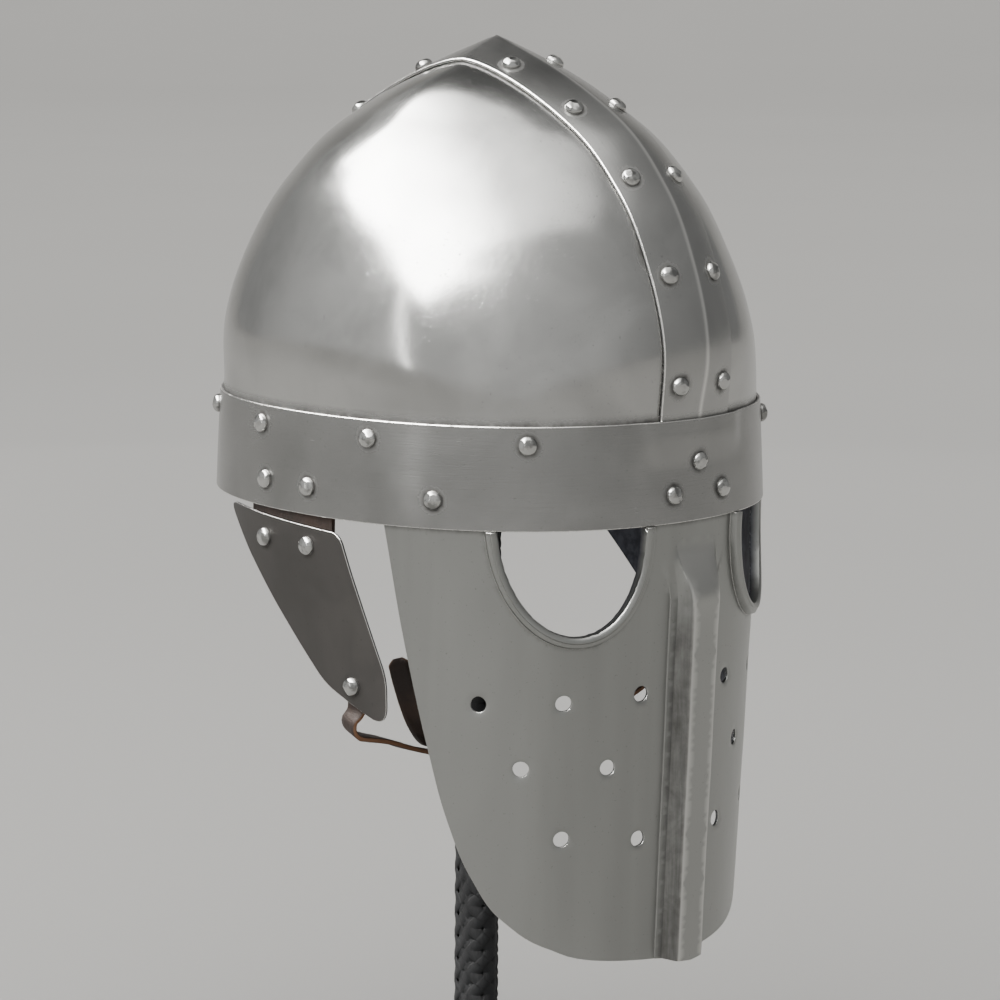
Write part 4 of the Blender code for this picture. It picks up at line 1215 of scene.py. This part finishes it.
def rivet_places():
    """Seat and outward normal of every rivet, by the name of its solid."""
    if SEATS:
        return SEATS
    path = crest_path(200)
    peak = len(path) // 2
    for column, (end, half) in enumerate((("front", path[:peak]), ("rear", path[peak + 1 :][::-1]))):
        for number, row in enumerate(CREST_RIVETS, 1):
            share = row[column]
            point, normal, _ = min(half, key=lambda station: abs(station[2] - share))
            for side_name, side in SIDES:
                across = side * CREST_RIVET_OUT
                seat = crest_top(point, normal, across, share)
                tilt = crest_top(point, normal, across + side * RIVET_RADIUS / 2, share) - seat
                face = tilt.cross(Vector((0, normal.z, -normal.y))).normalized()
                if face.dot(normal) < 0:
                    face = -face
                SEATS[f"crest_rivet_{end}_{side_name}_{number}"] = (seat, face)
    places = [("brow_rivet_rear", 180.0, BROW_RIVET_DROP)]
    places.append(("face_rivet_top", 0.0, LOWER_RIVET_DROP - FACE_RIVET_RISE))
    spread = math.degrees(FACE_RIVET_SPREAD / WRAP_RADIUS)
    hinge = math.degrees(hinge_middle() / WRAP_RADIUS)
    spacing = math.degrees(HINGE_RIVET_SPREAD / WRAP_RADIUS)
    for side_name, side in SIDES:
        for number, angle in enumerate(BROW_RIVETS, 1):
            places.append((f"brow_rivet_{side_name}_{number}", side * angle, BROW_RIVET_DROP))
        lower = (
            (f"face_rivet_{side_name}", spread),
            (f"face_rivet_side_{side_name}", FACE_SIDE_RIVET),
            (f"hinge_rivet_{side_name}_1", hinge - spacing),
            (f"hinge_rivet_{side_name}_2", hinge + spacing),
        )
        places += [(name, side * angle, LOWER_RIVET_DROP) for name, angle in lower]
    aside = 0.02
    up = 0.001
    for name, angle, drop in places:
        turn = math.radians(angle)
        beside = brow_skin(turn + aside, -drop) - brow_skin(turn - aside, -drop)
        above = brow_skin(turn, -drop + up) - brow_skin(turn, -drop - up)
        SEATS[name] = (brow_skin(turn, -drop), beside.cross(above).normalized())
    level = -BROW_HEIGHT - HINGE_RIVET_DROP
    for side_name, side in SIDES:
        spots = (
            (f"cheek_rivet_{side_name}_1", hinge_middle() - HINGE_RIVET_SPREAD, level),
            (f"cheek_rivet_{side_name}_2", hinge_middle() + HINGE_RIVET_SPREAD, level),
            (f"strap_rivet_{side_name}", STRAP_ARC, cheek_point(0, STRAP_PLACE)[1]),
        )
        for name, arc, z in spots:
            SEATS[name] = wrapped(side * arc, z, cheek_offset(z) + CHEEK_WALL)
    return SEATS


def rivet_flats(number):
    """Small flats that the hammer left on a rivet's crown: the way that each faces, and its distance."""
    golden_angle = 2.399
    spread = 2 * math.pi / 4.2
    flats = []
    for k in range(5):
        around = number * golden_angle + k * spread
        tilt = math.radians(12 + 17 * (k % 3) + 9 * noise.noise(Vector((number, k, 0.5))))
        limit = 0.90 + 0.05 * noise.noise(Vector((k, number * 1.7, 2.5)))
        out = math.sin(tilt)
        flats.append((Vector((out * math.cos(around), out * math.sin(around), math.cos(tilt))), limit))
    return flats


def build_rivet(name, seat, normal, number, finishes):
    """A domed head, struck a few times so that its crown has small flats."""
    sides = 36
    levels = 12
    squash = 0.97
    side = normal.orthogonal().normalized()
    other = normal.cross(side)
    flats = rivet_flats(number)

    def struck(local):
        for flat, limit in flats:
            local = local - flat * max(local.dot(flat) - limit, 0) * 0.85
        return local

    def placed(local, swell, foot):
        out = (side * local.x + other * local.y) * RIVET_RADIUS * swell
        return seat + out + normal * (foot + local.z * RIVET_HEIGHT * squash)

    verts = []
    for i in range(levels):
        rise = math.pi / 2 * i / levels
        for turn in turns(sides):
            local = Vector((math.cos(rise) * math.cos(turn), math.cos(rise) * math.sin(turn), math.sin(rise)))
            if i > 1:
                local = struck(local)
            uneven = 1 + 0.03 * noise.noise(local * 1.6 + Vector((number * 3.1, 0, 0)))
            verts.append(placed(local, 0.99 * uneven, GAP) if i else placed(local, 0.99, -0.5 * GAP))
    verts.append(placed(struck(Vector((0, 0, 1))), 1.0, GAP))
    last = (levels - 1) * sides
    faces = [tuple(reversed(range(sides)))] + grid_faces(levels, sides)
    faces += [(last + k, last + (k + 1) % sides, len(verts) - 1) for k in range(sides)]
    # Dirt and painted shade round each rivet's foot
    grime_and_shade_rise = 0.0011
    heights = [max((v - seat).dot(normal), 0) for v in verts]
    marks = {"grime_and_shade": [0.9 * max(0.0, 1 - h / grime_and_shade_rise) for h in heights], "inside": [0.0] * len(verts)}
    stud = name.replace("rivet", "stud")
    return add_piece(stud, verts, faces, finishes, [name], marks, sharp=60)


# Stand


def turned(profile, sides):
    """A solid turned about the stand's axis from rows of radius and height, bottom to top."""
    verts = [Vector((0, 0, profile[0][1]))]
    for radius, z in profile:
        verts += [Vector((radius * math.cos(turn), radius * math.sin(turn), z)) for turn in turns(sides)]
    verts.append(Vector((0, 0, profile[-1][1])))
    last = 1 + (len(profile) - 1) * sides
    faces = grid_faces(len(profile), sides, first=1)
    for k in range(sides):
        m = (k + 1) % sides
        faces += [(0, 1 + m, 1 + k), (last + k, last + m, len(verts) - 1)]
    return verts, faces


def build_base(finishes):
    """The round plate that the post stands on, with a rounded edge."""
    radius = BASE_HIGH.x
    height = BASE_HIGH.z
    edge = 0.0018
    chamfer = 0.0006
    profile = [(radius - chamfer, 0.0), (radius, chamfer)]
    for k in range(6):
        turn = math.pi / 2 * k / 5
        profile.append((radius - edge * (1 - math.cos(turn)), height - edge * (1 - math.sin(turn))))
    profile += [(radius * share, height) for share in (0.9, 0.6, 0.3, 0.14)]
    verts, faces = turned(profile, 128)
    worn = [float(abs(v.z - height) < edge and v.xy.length > radius - 2 * edge) for v in verts]
    return add_piece(
        "stand_foot", verts, faces, finishes, ["stand_base"], {"worn": worn}, origin=STAND_FOOT
    )


def build_cap(finishes):
    """The rounded cap on the post, which the skull rests on."""
    low = CAP_LOW.z
    radius = CAP_HIGH.x
    neck = POST_HIGH.x
    rise = 0.016
    shoulder = CAP_HIGH.z - rise
    rows = []
    for k in range(9):
        share = k / 8
        spread = 0.5 - 0.5 * math.cos(math.pi * share)
        rows.append((neck + (radius - neck) * spread, low + (shoulder - low) * share**1.25))
    for k in range(1, 15):
        turn = math.pi / 2 * k / 15
        rows.append((radius * math.cos(turn), shoulder + rise * math.sin(turn)))
    verts, faces = turned(rows, 72)
    marks = {"worn": [0.0] * len(verts)}
    return add_piece(
        "stand_dome", verts, faces, finishes, ["stand_cap"], marks, origin=STAND_FOOT
    )


def build_post(finishes):
    """A round core with two families of flat strands woven over and under each other round it."""
    thick = 0.0021
    wave = 0.0008
    fill = 0.94
    section = ((-0.5, 0), (-0.4, 0.42), (0, 0.5), (0.4, 0.42), (0.5, 0), (0, -0.35))
    strand_worn = [0.0, 0.5, 1.0, 0.5, 0.0, 0.0]
    middle = POST_HIGH.x - thick / 2 - wave
    low = POST_LOW.z
    high = POST_HIGH.z
    strands = details().plait_strands
    pitch = details().plait_pitch
    width = pitch / strands * math.cos(math.atan2(pitch, 2 * math.pi * middle)) * fill
    crossings = 2 * strands * (high - low) / pitch
    samples = round(crossings * 5)
    core = middle - wave
    verts, faces = turned([(core, low), (core, high)], 40)
    worn = [0.0] * len(verts)
    for hand in (-1, 1):
        for number in range(strands):
            rings = []
            for i in range(samples + 1):
                z = low + (high - low) * i / samples
                turn = hand * 2 * math.pi * (z - low) / pitch + 2 * math.pi * number / strands
                over = math.sin(math.pi * (crossings * i / samples / 2 + number + hand / 2))
                radius = middle + wave * over * hand
                out = Vector((math.cos(turn), math.sin(turn), 0))
                round_way = Vector((-out.y, out.x, 0)) * hand * 2 * math.pi * radius / pitch
                side = out.cross((round_way + Vector((0, 0, 1))).normalized())
                place = out * radius + Vector((0, 0, z))
                ring = [place + side * across * width + out * rise * thick for across, rise in section]
                for point in ring:
                    point.z = min(max(point.z, low), high)
                rings.append(ring)
            more, loops = ring_loft(rings)
            shift = len(verts)
            verts += more
            faces += [tuple(k + shift for k in loop) for loop in loops]
            worn += strand_worn * len(rings)
    return add_piece(
        "stand_plait", verts, faces, finishes, ["stand_post"], {"worn": worn},
        origin=STAND_FOOT, sharp=70,
    )


# Shader nodes


class Wire:
    """A node's output that Python's operators work on, each by adding a Math node."""

    def __init__(self, finish, socket):
        self.finish = finish
        self.socket = socket

    def math(self, operation, first, second, clamp=False):
        settings = {"operation": operation, "use_clamp": clamp}
        return self.finish.node("ShaderNodeMath", settings, {0: first, 1: second})

    def __add__(self, other):
        return self.math("ADD", self, other)

    def __radd__(self, other):
        return self.math("ADD", other, self)

    def __sub__(self, other):
        return self.math("SUBTRACT", self, other)

    def __rsub__(self, other):
        return self.math("SUBTRACT", other, self)

    def __mul__(self, other):
        return self.math("MULTIPLY", self, other)

    def __rmul__(self, other):
        return self.math("MULTIPLY", other, self)

    def clamp(self):
        return self.math("ADD", self, 0.0, clamp=True)


class Wiring:
    """A node tree, and the one way in which nodes are added to it."""

    def __init__(self, tree):
        self.tree = tree

    def node(self, kind, settings=None, inputs=None, output=0):
        """Adds a node, sets it, and then gives its sockets their values or links."""
        made = self.tree.nodes.new(kind)
        for key, value in (settings or {}).items():
            setattr(made, key, value)
        for key, value in (inputs or {}).items():
            self.feed(made.inputs[key], value)
        return Wire(self, made.outputs[output])

    def feed(self, socket, value):
        """Links a wire to a socket, or sets the socket's own value."""
        if isinstance(value, Wire):
            self.tree.links.new(value.socket, socket)
        else:
            socket.default_value = value

    def place(self, stretch=(1, 1, 1)):
        """Position on the object in metres, stretched along its axes."""
        here = self.node("ShaderNodeTexCoord", output="Object")
        return self.node("ShaderNodeVectorMath", {"operation": "MULTIPLY"}, {0: here, 1: stretch})

    def noise(self, place, scale, detail=3.0, rough=0.5, warp=0.0):
        inputs = {"Vector": place, "Scale": scale, "Detail": detail, "Roughness": rough, "Distortion": warp}
        return self.node("ShaderNodeTexNoise", None, inputs)

    def cells(self, place, scale):
        return self.node("ShaderNodeTexVoronoi", None, {"Vector": place, "Scale": scale})

    def mark(self, name):
        return self.node("ShaderNodeAttribute", {"attribute_name": name}, output="Fac")

    def between(self, value, low, high):
        """0 below one value, 1 above another, smooth between."""
        settings = {"interpolation_type": "SMOOTHSTEP"}
        return self.node("ShaderNodeMapRange", settings, {0: value, 1: low, 2: high})

    def mix(self, share, first, second):
        """A colour between two others."""
        return self.node("ShaderNodeMix", {"data_type": "RGBA"}, {0: share, 6: first, 7: second}, output=2)

    def bump(self, height, distance, strength):
        inputs = {"Height": height, "Distance": distance, "Strength": strength}
        return self.node("ShaderNodeBump", None, inputs)


class Finish(Wiring):
    """One material: a Principled shader and the nodes that feed it."""

    def __init__(self, name):
        self.material = bpy.data.materials.new(name)
        self.material.use_nodes = True
        super().__init__(self.material.node_tree)
        self.shader = self.tree.nodes["Principled BSDF"]

    def ends(self, **sockets):
        """Feeds the shader's sockets, named in lower case with underscores."""
        for name, value in sockets.items():
            self.feed(self.shader.inputs[name.replace("_", " ").title()], value)
        return self.material


def shade(colour, factor):
    """A colour made lighter or darker."""
    return tuple(min(channel * factor, 1.0) for channel in colour[:3]) + (1.0,)


def iron_finish(name, colour, roughness, strokes, stretch, unevenness=1.0, clouding=(26, 26, 26), soot_and_painted_shade=0.0):
    """Hand-polished iron: cloudy sheen, fine strokes of the stone, and, where it can't be reached, dirt and
    painted shade.
    """
    finish = Finish(name)
    place = finish.place()
    clouds = finish.noise(finish.place(clouding), 1.0, 3, 0.55, 0.4)
    mottle = finish.noise(place, 210, 5, 0.6)
    patches = finish.noise(place, 75, 4, 0.6, 0.8)
    pits = finish.between(finish.noise(place, 900, 2, 0.5), 0.66, 0.78)
    stroke = finish.noise(finish.place(stretch), 1.0, 3, 0.6, 0.2)
    cross = finish.noise(finish.place((120, 260, 1900)), 1.0, 2, 0.5, 0.3)
    uneven = 0.1 + 0.7 * patches + 0.4 * mottle + 0.5 * stroke
    # Dirt and painted shade from the mark, broken up by noise; the same mark also dulls the iron
    grime_and_shade = finish.between(finish.mark("grime_and_shade") * uneven, 0.08, 0.95)
    inside = finish.mark("inside")
    tone = finish.mix(finish.between(clouds, 0.3, 0.7), shade(colour, 0.90), shade(colour, 1.08))
    # Dark patches painted into the tone where a dark reflection would show
    if soot_and_painted_shade:
        tone = finish.mix(finish.between(mottle, 0.5, 0.62) * soot_and_painted_shade, tone, shade(colour, 0.25))
    tone = finish.mix(pits * 0.35, tone, shade(colour, 0.35))
    # Rubbed-bright iron from the worn mark: wear, and painted highlights on the face's ridge and the crest's
    # fold
    tone = finish.mix(finish.mark("worn"), tone, tuple(colours().edge))
    tone = finish.mix(grime_and_shade * 0.93, tone, tuple(colours().grime_and_shade))
    # Inner faces: dark scale, and painted shade for the hollow inside
    raw = finish.between(mottle, 0.35, 0.65)
    scale = finish.mix(raw, shade(colours().inside, 0.8), shade(colours().inside, 1.5))
    tone = finish.mix(inside, tone, scale)
    sheen = unevenness * (0.10 * (clouds - 0.5) + 0.07 * (stroke - 0.5))
    dull = roughness + sheen + 0.33 * grime_and_shade + 0.22 * inside
    relief = strokes * stroke + 0.35 * strokes * cross + 0.5 * mottle - 1.2 * pits
    normal = finish.bump(relief, 0.00006, 0.35)
    metal = 1.0 - 0.55 * grime_and_shade
    return finish.ends(base_color=tone, roughness=dull.clamp(), metallic=metal.clamp(), normal=normal)


def edge_finish():
    """Iron rubbed bright along an edge, with the odd nick."""
    finish = Finish("Worn iron edge")
    place = finish.place()
    nicks = finish.between(finish.noise(place, 420, 4, 0.6), 0.52, 0.66)
    tone = finish.mix(nicks * 0.7, tuple(colours().edge), shade(colours().edge, 0.4))
    normal = finish.bump(finish.noise(place, 900, 3, 0.6), 0.00008, 0.5)
    return finish.ends(base_color=tone, roughness=0.22 + 0.25 * nicks, metallic=1.0, normal=normal)


def leather_finish():
    """Dark oiled leather with a fine grain, creases and paler cut edges."""
    finish = Finish("Oiled leather")
    place = finish.place()
    grain = finish.cells(place, 1100)
    clouds = finish.noise(place, 70, 4, 0.6)
    creases = finish.noise(finish.place((1, 1, 0.35)), 480, 4, 0.65, 0.6)
    rub = finish.between(finish.mark("edge") * (0.5 + clouds), 0.35, 1.0)
    leather = colours().leather
    tone = finish.mix(finish.between(clouds, 0.3, 0.7), shade(leather, 0.65), shade(leather, 1.5))
    tone = finish.mix(finish.between(creases, 0.6, 0.75) * 0.5, tone, shade(leather, 2.4))
    tone = finish.mix(rub * 0.85, tone, tuple(colours().leather_edge))
    relief = 0.6 * grain + 1.4 * creases + 0.5 * finish.noise(place, 2200, 2, 0.5)
    normal = finish.bump(relief, 0.00025, 0.6)
    dull = 0.50 + 0.22 * clouds + 0.15 * rub
    return finish.ends(base_color=tone, roughness=dull, normal=normal)


def leather_edge_finish():
    """Cut edge of the hinge leather, with its fibres showing."""
    finish = Finish("Cut leather edge")
    fibres = finish.noise(finish.place((1, 1, 5)), 500, 4, 0.7)
    tone = finish.mix(fibres, shade(colours().leather_edge, 0.45), shade(colours().leather_edge, 1.1))
    return finish.ends(base_color=tone, roughness=0.8, normal=finish.bump(fibres, 0.0003, 0.7))


def plait_finish():
    """Waxed dark strands with fibres along them."""
    finish = Finish("Waxed plait")
    place = finish.place()
    fibres = finish.noise(finish.place((1, 1, 0.5)), 1500, 4, 0.7, 0.5)
    clouds = finish.noise(place, 90, 3, 0.5)
    worn = finish.mark("worn")
    tone = finish.mix(fibres, shade(colours().plait, 0.5), shade(colours().plait, 1.6))
    tone = finish.mix(worn * clouds * 0.8, tone, shade(colours().plait, 2.6))
    normal = finish.bump(fibres, 0.0003, 0.6)
    return finish.ends(base_color=tone, roughness=0.62 + 0.25 * fibres, normal=normal)


def stand_finish():
    """Blackened iron with a dry sheen, rubbed at its rim."""
    finish = Finish("Blackened stand iron")
    place = finish.place()
    clouds = finish.noise(place, 35, 5, 0.6)
    grit = finish.noise(place, 1300, 3, 0.6)
    rubbed = finish.between(finish.mark("worn") * (0.3 + clouds), 0.5, 0.8)
    tone = finish.mix(clouds, shade(colours().stand, 0.6), shade(colours().stand, 1.7))
    tone = finish.mix(rubbed * 0.6, tone, shade(colours().stand, 6.0))
    normal = finish.bump(grit + 0.4 * clouds, 0.00012, 0.5)
    dull = 0.42 + 0.2 * clouds + 0.08 * grit
    return finish.ends(base_color=tone, roughness=dull, metallic=0.5 + 0.5 * rubbed, normal=normal)


def floor_finish():
    """Matte pale studio floor."""
    finish = Finish("Studio floor")
    place = finish.place()
    clouds = finish.noise(place, 1.5, 3, 0.5)
    floor = bpy.context.scene.helmet_stage.floor
    tone = finish.mix(clouds, shade(floor, 0.97), shade(floor, 1.02))
    return finish.ends(base_color=tone, roughness=0.85)


# Operators


class Step:
    """What every step of the workshop shares."""

    bl_options = {"REGISTER", "UNDO"}


class HELMET_OT_skull(Step, Operator):
    """Build the two raised halves of the skull"""

    bl_idname = "helmet.skull"
    bl_label = "Skull Halves"

    def execute(self, context):
        iron = iron_finish("Polished skull iron", colours().skull, 0.17, strokes=0.5, stretch=(420, 420, 60))
        finishes = [iron, edge_finish()]
        for side_name, side in SIDES:
            build_skull_half(side_name, side, finishes)
        return {"FINISHED"}


class HELMET_OT_crest(Step, Operator):
    """Build the folded crest band over the skull's join"""

    bl_idname = "helmet.crest"
    bl_label = "Crest Band"

    def execute(self, context):
        iron = iron_finish("Satin crest iron", colours().crest, 0.24, strokes=0.4, stretch=(900, 60, 60))
        build_crest([iron, edge_finish()])
        return {"FINISHED"}


class HELMET_OT_brow(Step, Operator):
    """Build the flared brow band"""

    bl_idname = "helmet.brow"
    bl_label = "Brow Band"

    def execute(self, context):
        iron = iron_finish("Satin brow iron", colours().band, 0.25, strokes=0.7, stretch=(50, 50, 1500))
        build_brow([iron, edge_finish()])
        return {"FINISHED"}


class HELMET_OT_face(Step, Operator):
    """Build the face plate with its rimmed eyes, nasal ridge and breath holes"""

    bl_idname = "helmet.face"
    bl_label = "Face Plate"

    def execute(self, context):
        stretch = (700, 700, 45)
        # Clouding stretched upright paints reflection streaks into the face iron's tone
        iron = iron_finish("Satin face iron", colours().face, 0.31, 0.8, stretch, clouding=(24, 24, 3))
        build_face([iron, edge_finish()])
        return {"FINISHED"}


class HELMET_OT_cheeks(Step, Operator):
    """Build the two cheek plates and the leather that they hang from"""

    bl_idname = "helmet.cheeks"
    bl_label = "Cheek Plates"

    def execute(self, context):
        iron = iron_finish("Dull cheek iron", colours().cheek, 0.36, strokes=0.9, stretch=(650, 650, 50))
        finishes = [iron, edge_finish()]
        leather = [leather_finish(), leather_edge_finish()]
        for side_name, side in SIDES:
            build_cheek(side_name, side, finishes)
            build_hinge(side_name, side, leather)
        return {"FINISHED"}


class HELMET_OT_strap(Step, Operator):
    """Build both lengths of the chin strap and the loop that holds them"""

    bl_idname = "helmet.strap"
    bl_label = "Chin Strap"

    def execute(self, context):
        build_straps([leather_finish()])
        iron = iron_finish("Dull loop iron", colours().cheek, 0.36, strokes=0.9, stretch=(650, 650, 50))
        build_slide([iron])
        return {"FINISHED"}


class HELMET_OT_rivets(Step, Operator):
    """Build every rivet head"""

    bl_idname = "helmet.rivets"
    bl_label = "Rivets"

    def execute(self, context):
        stretch = (500, 500, 500)
        # The rivets' dark patches are painted dark reflections
        iron = iron_finish("Bright rivet iron", colours().rivet, 0.12, 0.6, stretch, unevenness=1.2, soot_and_painted_shade=0.7)
        for number, (name, (seat, normal)) in enumerate(rivet_places().items()):
            build_rivet(name, seat, normal, number, [iron])
        return {"FINISHED"}


class HELMET_OT_stand(Step, Operator):
    """Build the stand's base, plaited post and cap"""

    bl_idname = "helmet.stand"
    bl_label = "Stand"

    def execute(self, context):
        black = [stand_finish()]
        build_base(black)
        build_cap(black)
        build_post([plait_finish()])
        return {"FINISHED"}


# Stage


def add_softbox(name, middle, way, distance, size, power, roll=0.0, slide=(0.0, 0.0)):
    """A rectangular light that faces a point, turned in its own plane and slid in that plane."""
    light = bpy.data.lights.new(name, "AREA")
    light.shape = "RECTANGLE"
    light.size, light.size_y = size
    light.energy = power
    light.color = (1.0, 0.99, 0.97)
    obj = bpy.data.objects.new(name, light)
    turn = (-way).to_track_quat("-Z", "Y") @ Quaternion((0, 0, 1), math.radians(roll))
    obj.rotation_mode = "QUATERNION"
    obj.rotation_quaternion = turn
    obj.location = middle + way * distance + turn @ Vector((slide[0], slide[1], 0))
    obj.visible_camera = False
    bpy.context.scene.collection.objects.link(obj)
    return obj


def shape_softbox(obj):
    """Makes a softbox brightest along its lower edge, and cuts its far end off on a slant."""
    fade_low = 0.17
    fade_high = 0.515
    spill = 0.25
    slant = 0.583
    flag_edge = (0.018, 0.048)
    obj.data.use_nodes = True
    lamp = Wiring(obj.data.node_tree)
    spot = lamp.node("ShaderNodeNewGeometry", output="Parametric")
    along, up = (lamp.node("ShaderNodeSeparateXYZ", None, {0: spot}, output=axis) for axis in (0, 1))
    fade = (1.0 - lamp.between(up, fade_low, fade_high)) + spill * (1.0 - up)
    flag = lamp.between(along - slant * up, *flag_edge)
    lamp.feed(obj.data.node_tree.nodes["Emission"].inputs["Strength"], fade * flag)


def studio_direction(turn, rise):
    """A direction from the helmet, turned to the wearer's left from the front and raised, in degrees."""
    turn = math.radians(turn)
    rise = math.radians(rise)
    return Vector((math.cos(rise) * math.sin(turn), -math.cos(rise) * math.cos(turn), math.sin(rise)))


def add_camera():
    """The camera at the photograph's viewing angle and distance."""
    away = studio_direction(CAMERA_TURN, CAMERA_RISE)
    right = (-away).cross(Vector((0, 0, 1))).normalized()
    up = right.cross(-away)
    level = right * math.cos(CAMERA_ROLL) + up * math.sin(CAMERA_ROLL)
    upright = up * math.cos(CAMERA_ROLL) - right * math.sin(CAMERA_ROLL)
    frame_width = SENSOR_WIDTH / CAMERA_LENS
    back = (away + (level * ORIGIN_RIGHT + upright * ORIGIN_UP) * frame_width).normalized()
    across = upright.cross(back).normalized()
    camera = bpy.data.cameras.new("Photo camera")
    camera.lens = CAMERA_LENS
    camera.sensor_width = SENSOR_WIDTH
    camera.clip_end = 50
    obj = bpy.data.objects.new("Photo camera", camera)
    matrix = obj.matrix_world.copy()
    columns = (across, back.cross(across), back, HELMET_ORIGIN + away * CAMERA_DISTANCE)
    for column, value in enumerate(columns):
        matrix.col[column][:3] = value
    obj.matrix_world = matrix
    bpy.context.scene.collection.objects.link(obj)
    bpy.context.scene.camera = obj


def add_backdrop():
    """A pale floor that curves up into a backdrop far behind the object."""
    half = 9.0
    reach = 9.0
    bend = 6.0
    top = 9.0
    profile = [(-half, 0.0), (reach, 0.0)]
    for k in range(1, 17):
        turn = math.pi / 2 * k / 16
        profile.append((reach + bend * math.sin(turn), bend * (1 - math.cos(turn))))
    profile.append((reach + bend, top))
    ahead = -studio_direction(CAMERA_TURN, 0)
    aside = studio_direction(CAMERA_TURN + 90, 0)
    verts = []
    for out, z in profile:
        for side in (-half, half):
            verts.append(tuple(ahead * out + aside * side + Vector((0, 0, z))))
    mesh = bpy.data.meshes.new("Studio backdrop")
    mesh.from_pydata(verts, [], grid_faces(len(profile), 2, closed_row=False))
    mesh.shade_smooth()
    mesh.materials.append(floor_finish())
    obj = bpy.data.objects.new("Studio_backdrop", mesh)
    bpy.context.scene.collection.objects.link(obj)


def add_air(stage):
    """The studio all round: pale beside the softbox, and darker in two other places."""
    # Turn and rise of each place, in degrees, the cosines at which it begins and is full, and its tone
    lobes = (
        (-80, 12, -0.3, 1.0, tuple(stage.glow)),
        (142, 50, 0.91, 0.992, shade(stage.sky, 0.32)),
        (92, 0, 0.70, 0.95, shade(stage.sky, 0.68)),
    )
    world = bpy.data.worlds.new("Studio air")
    world.use_nodes = True
    bpy.context.scene.world = world
    air = Wiring(world.node_tree)
    way = air.node("ShaderNodeTexCoord", output="Generated")
    tone = tuple(stage.sky)
    for turn, rise, low, high, lobe in lobes:
        middle = tuple(studio_direction(turn, rise))
        facing = air.node("ShaderNodeVectorMath", {"operation": "DOT_PRODUCT"}, {0: way, 1: middle}, output=1)
        tone = air.mix(air.between(facing, low, high), tone, lobe)
    shell = world.node_tree.nodes["Background"]
    air.feed(shell.inputs["Color"], tone)
    air.feed(shell.inputs["Strength"], stage.sky_strength)


def add_lights(stage):
    """The softbox that the skull mirrors, a narrow strip under it and the light over the floor."""
    middle = HELMET_ORIGIN + Vector((0, 0, 0.03))
    key = add_softbox(
        "Key softbox", middle, studio_direction(*KEY_WAY), distance=1.5, size=(3.0, 2.5),
        power=stage.key_strength, roll=-17.1, slide=(-0.25, 0.4),
    )
    shape_softbox(key)
    key.visible_diffuse = False
    strip = studio_direction(*STRIP_WAY)
    add_softbox("Window strip", middle, strip, distance=1.6, size=(0.085, 0.85), power=1.25)
    ceiling = add_softbox(
        "Ceiling light", Vector((0, 0, 0)), Vector((0, 0, 1)), distance=8.0, size=(24, 24),
        power=stage.ceiling_strength,
    )
    ceiling.visible_glossy = False


class HELMET_OT_stage(Step, Operator):
    """Build the floor, the soft studio lights and the camera"""

    bl_idname = "helmet.stage"
    bl_label = "Studio"

    def execute(self, context):
        add_backdrop()
        add_camera()
        add_air(context.scene.helmet_stage)
        add_lights(context.scene.helmet_stage)
        return {"FINISHED"}


class HELMET_PT_workshop(Panel):
    """Steps of the helmet, in the order that they are built"""

    bl_idname = "HELMET_PT_workshop"
    bl_label = "Helmet Workshop"
    bl_space_type = "VIEW_3D"
    bl_region_type = "UI"
    bl_category = "Helmet"

    def draw(self, context):
        layout = self.layout
        for operator in STEPS:
            layout.operator(operator.bl_idname)
        for group in GROUPS:
            settings = getattr(context.scene, group)
            box = layout.box()
            for name in settings.__annotations__:
                box.prop(settings, name)


STEPS = (
    HELMET_OT_skull,
    HELMET_OT_crest,
    HELMET_OT_brow,
    HELMET_OT_face,
    HELMET_OT_cheeks,
    HELMET_OT_strap,
    HELMET_OT_rivets,
    HELMET_OT_stand,
    HELMET_OT_stage,
)
GROUPS = {"helmet_finishes": HelmetFinishes, "helmet_details": HelmetDetails, "helmet_stage": StageSettings}
KINDS = (*GROUPS.values(), *STEPS, HELMET_PT_workshop)


def register():
    for kind in KINDS:
        bpy.utils.register_class(kind)
    for name, kind in GROUPS.items():
        setattr(bpy.types.Scene, name, PointerProperty(type=kind))


def unregister():
    for name in GROUPS:
        delattr(bpy.types.Scene, name)
    for kind in reversed(KINDS):
        bpy.utils.unregister_class(kind)


def main():
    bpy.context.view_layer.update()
    register()
    bpy.ops.helmet.skull()
    bpy.ops.helmet.crest()
    bpy.ops.helmet.brow()
    bpy.ops.helmet.face()
    bpy.ops.helmet.cheeks()
    bpy.ops.helmet.strap()
    bpy.ops.helmet.rivets()
    bpy.ops.helmet.stand()
    bpy.ops.helmet.stage()


if __name__ == "__main__":
    main()
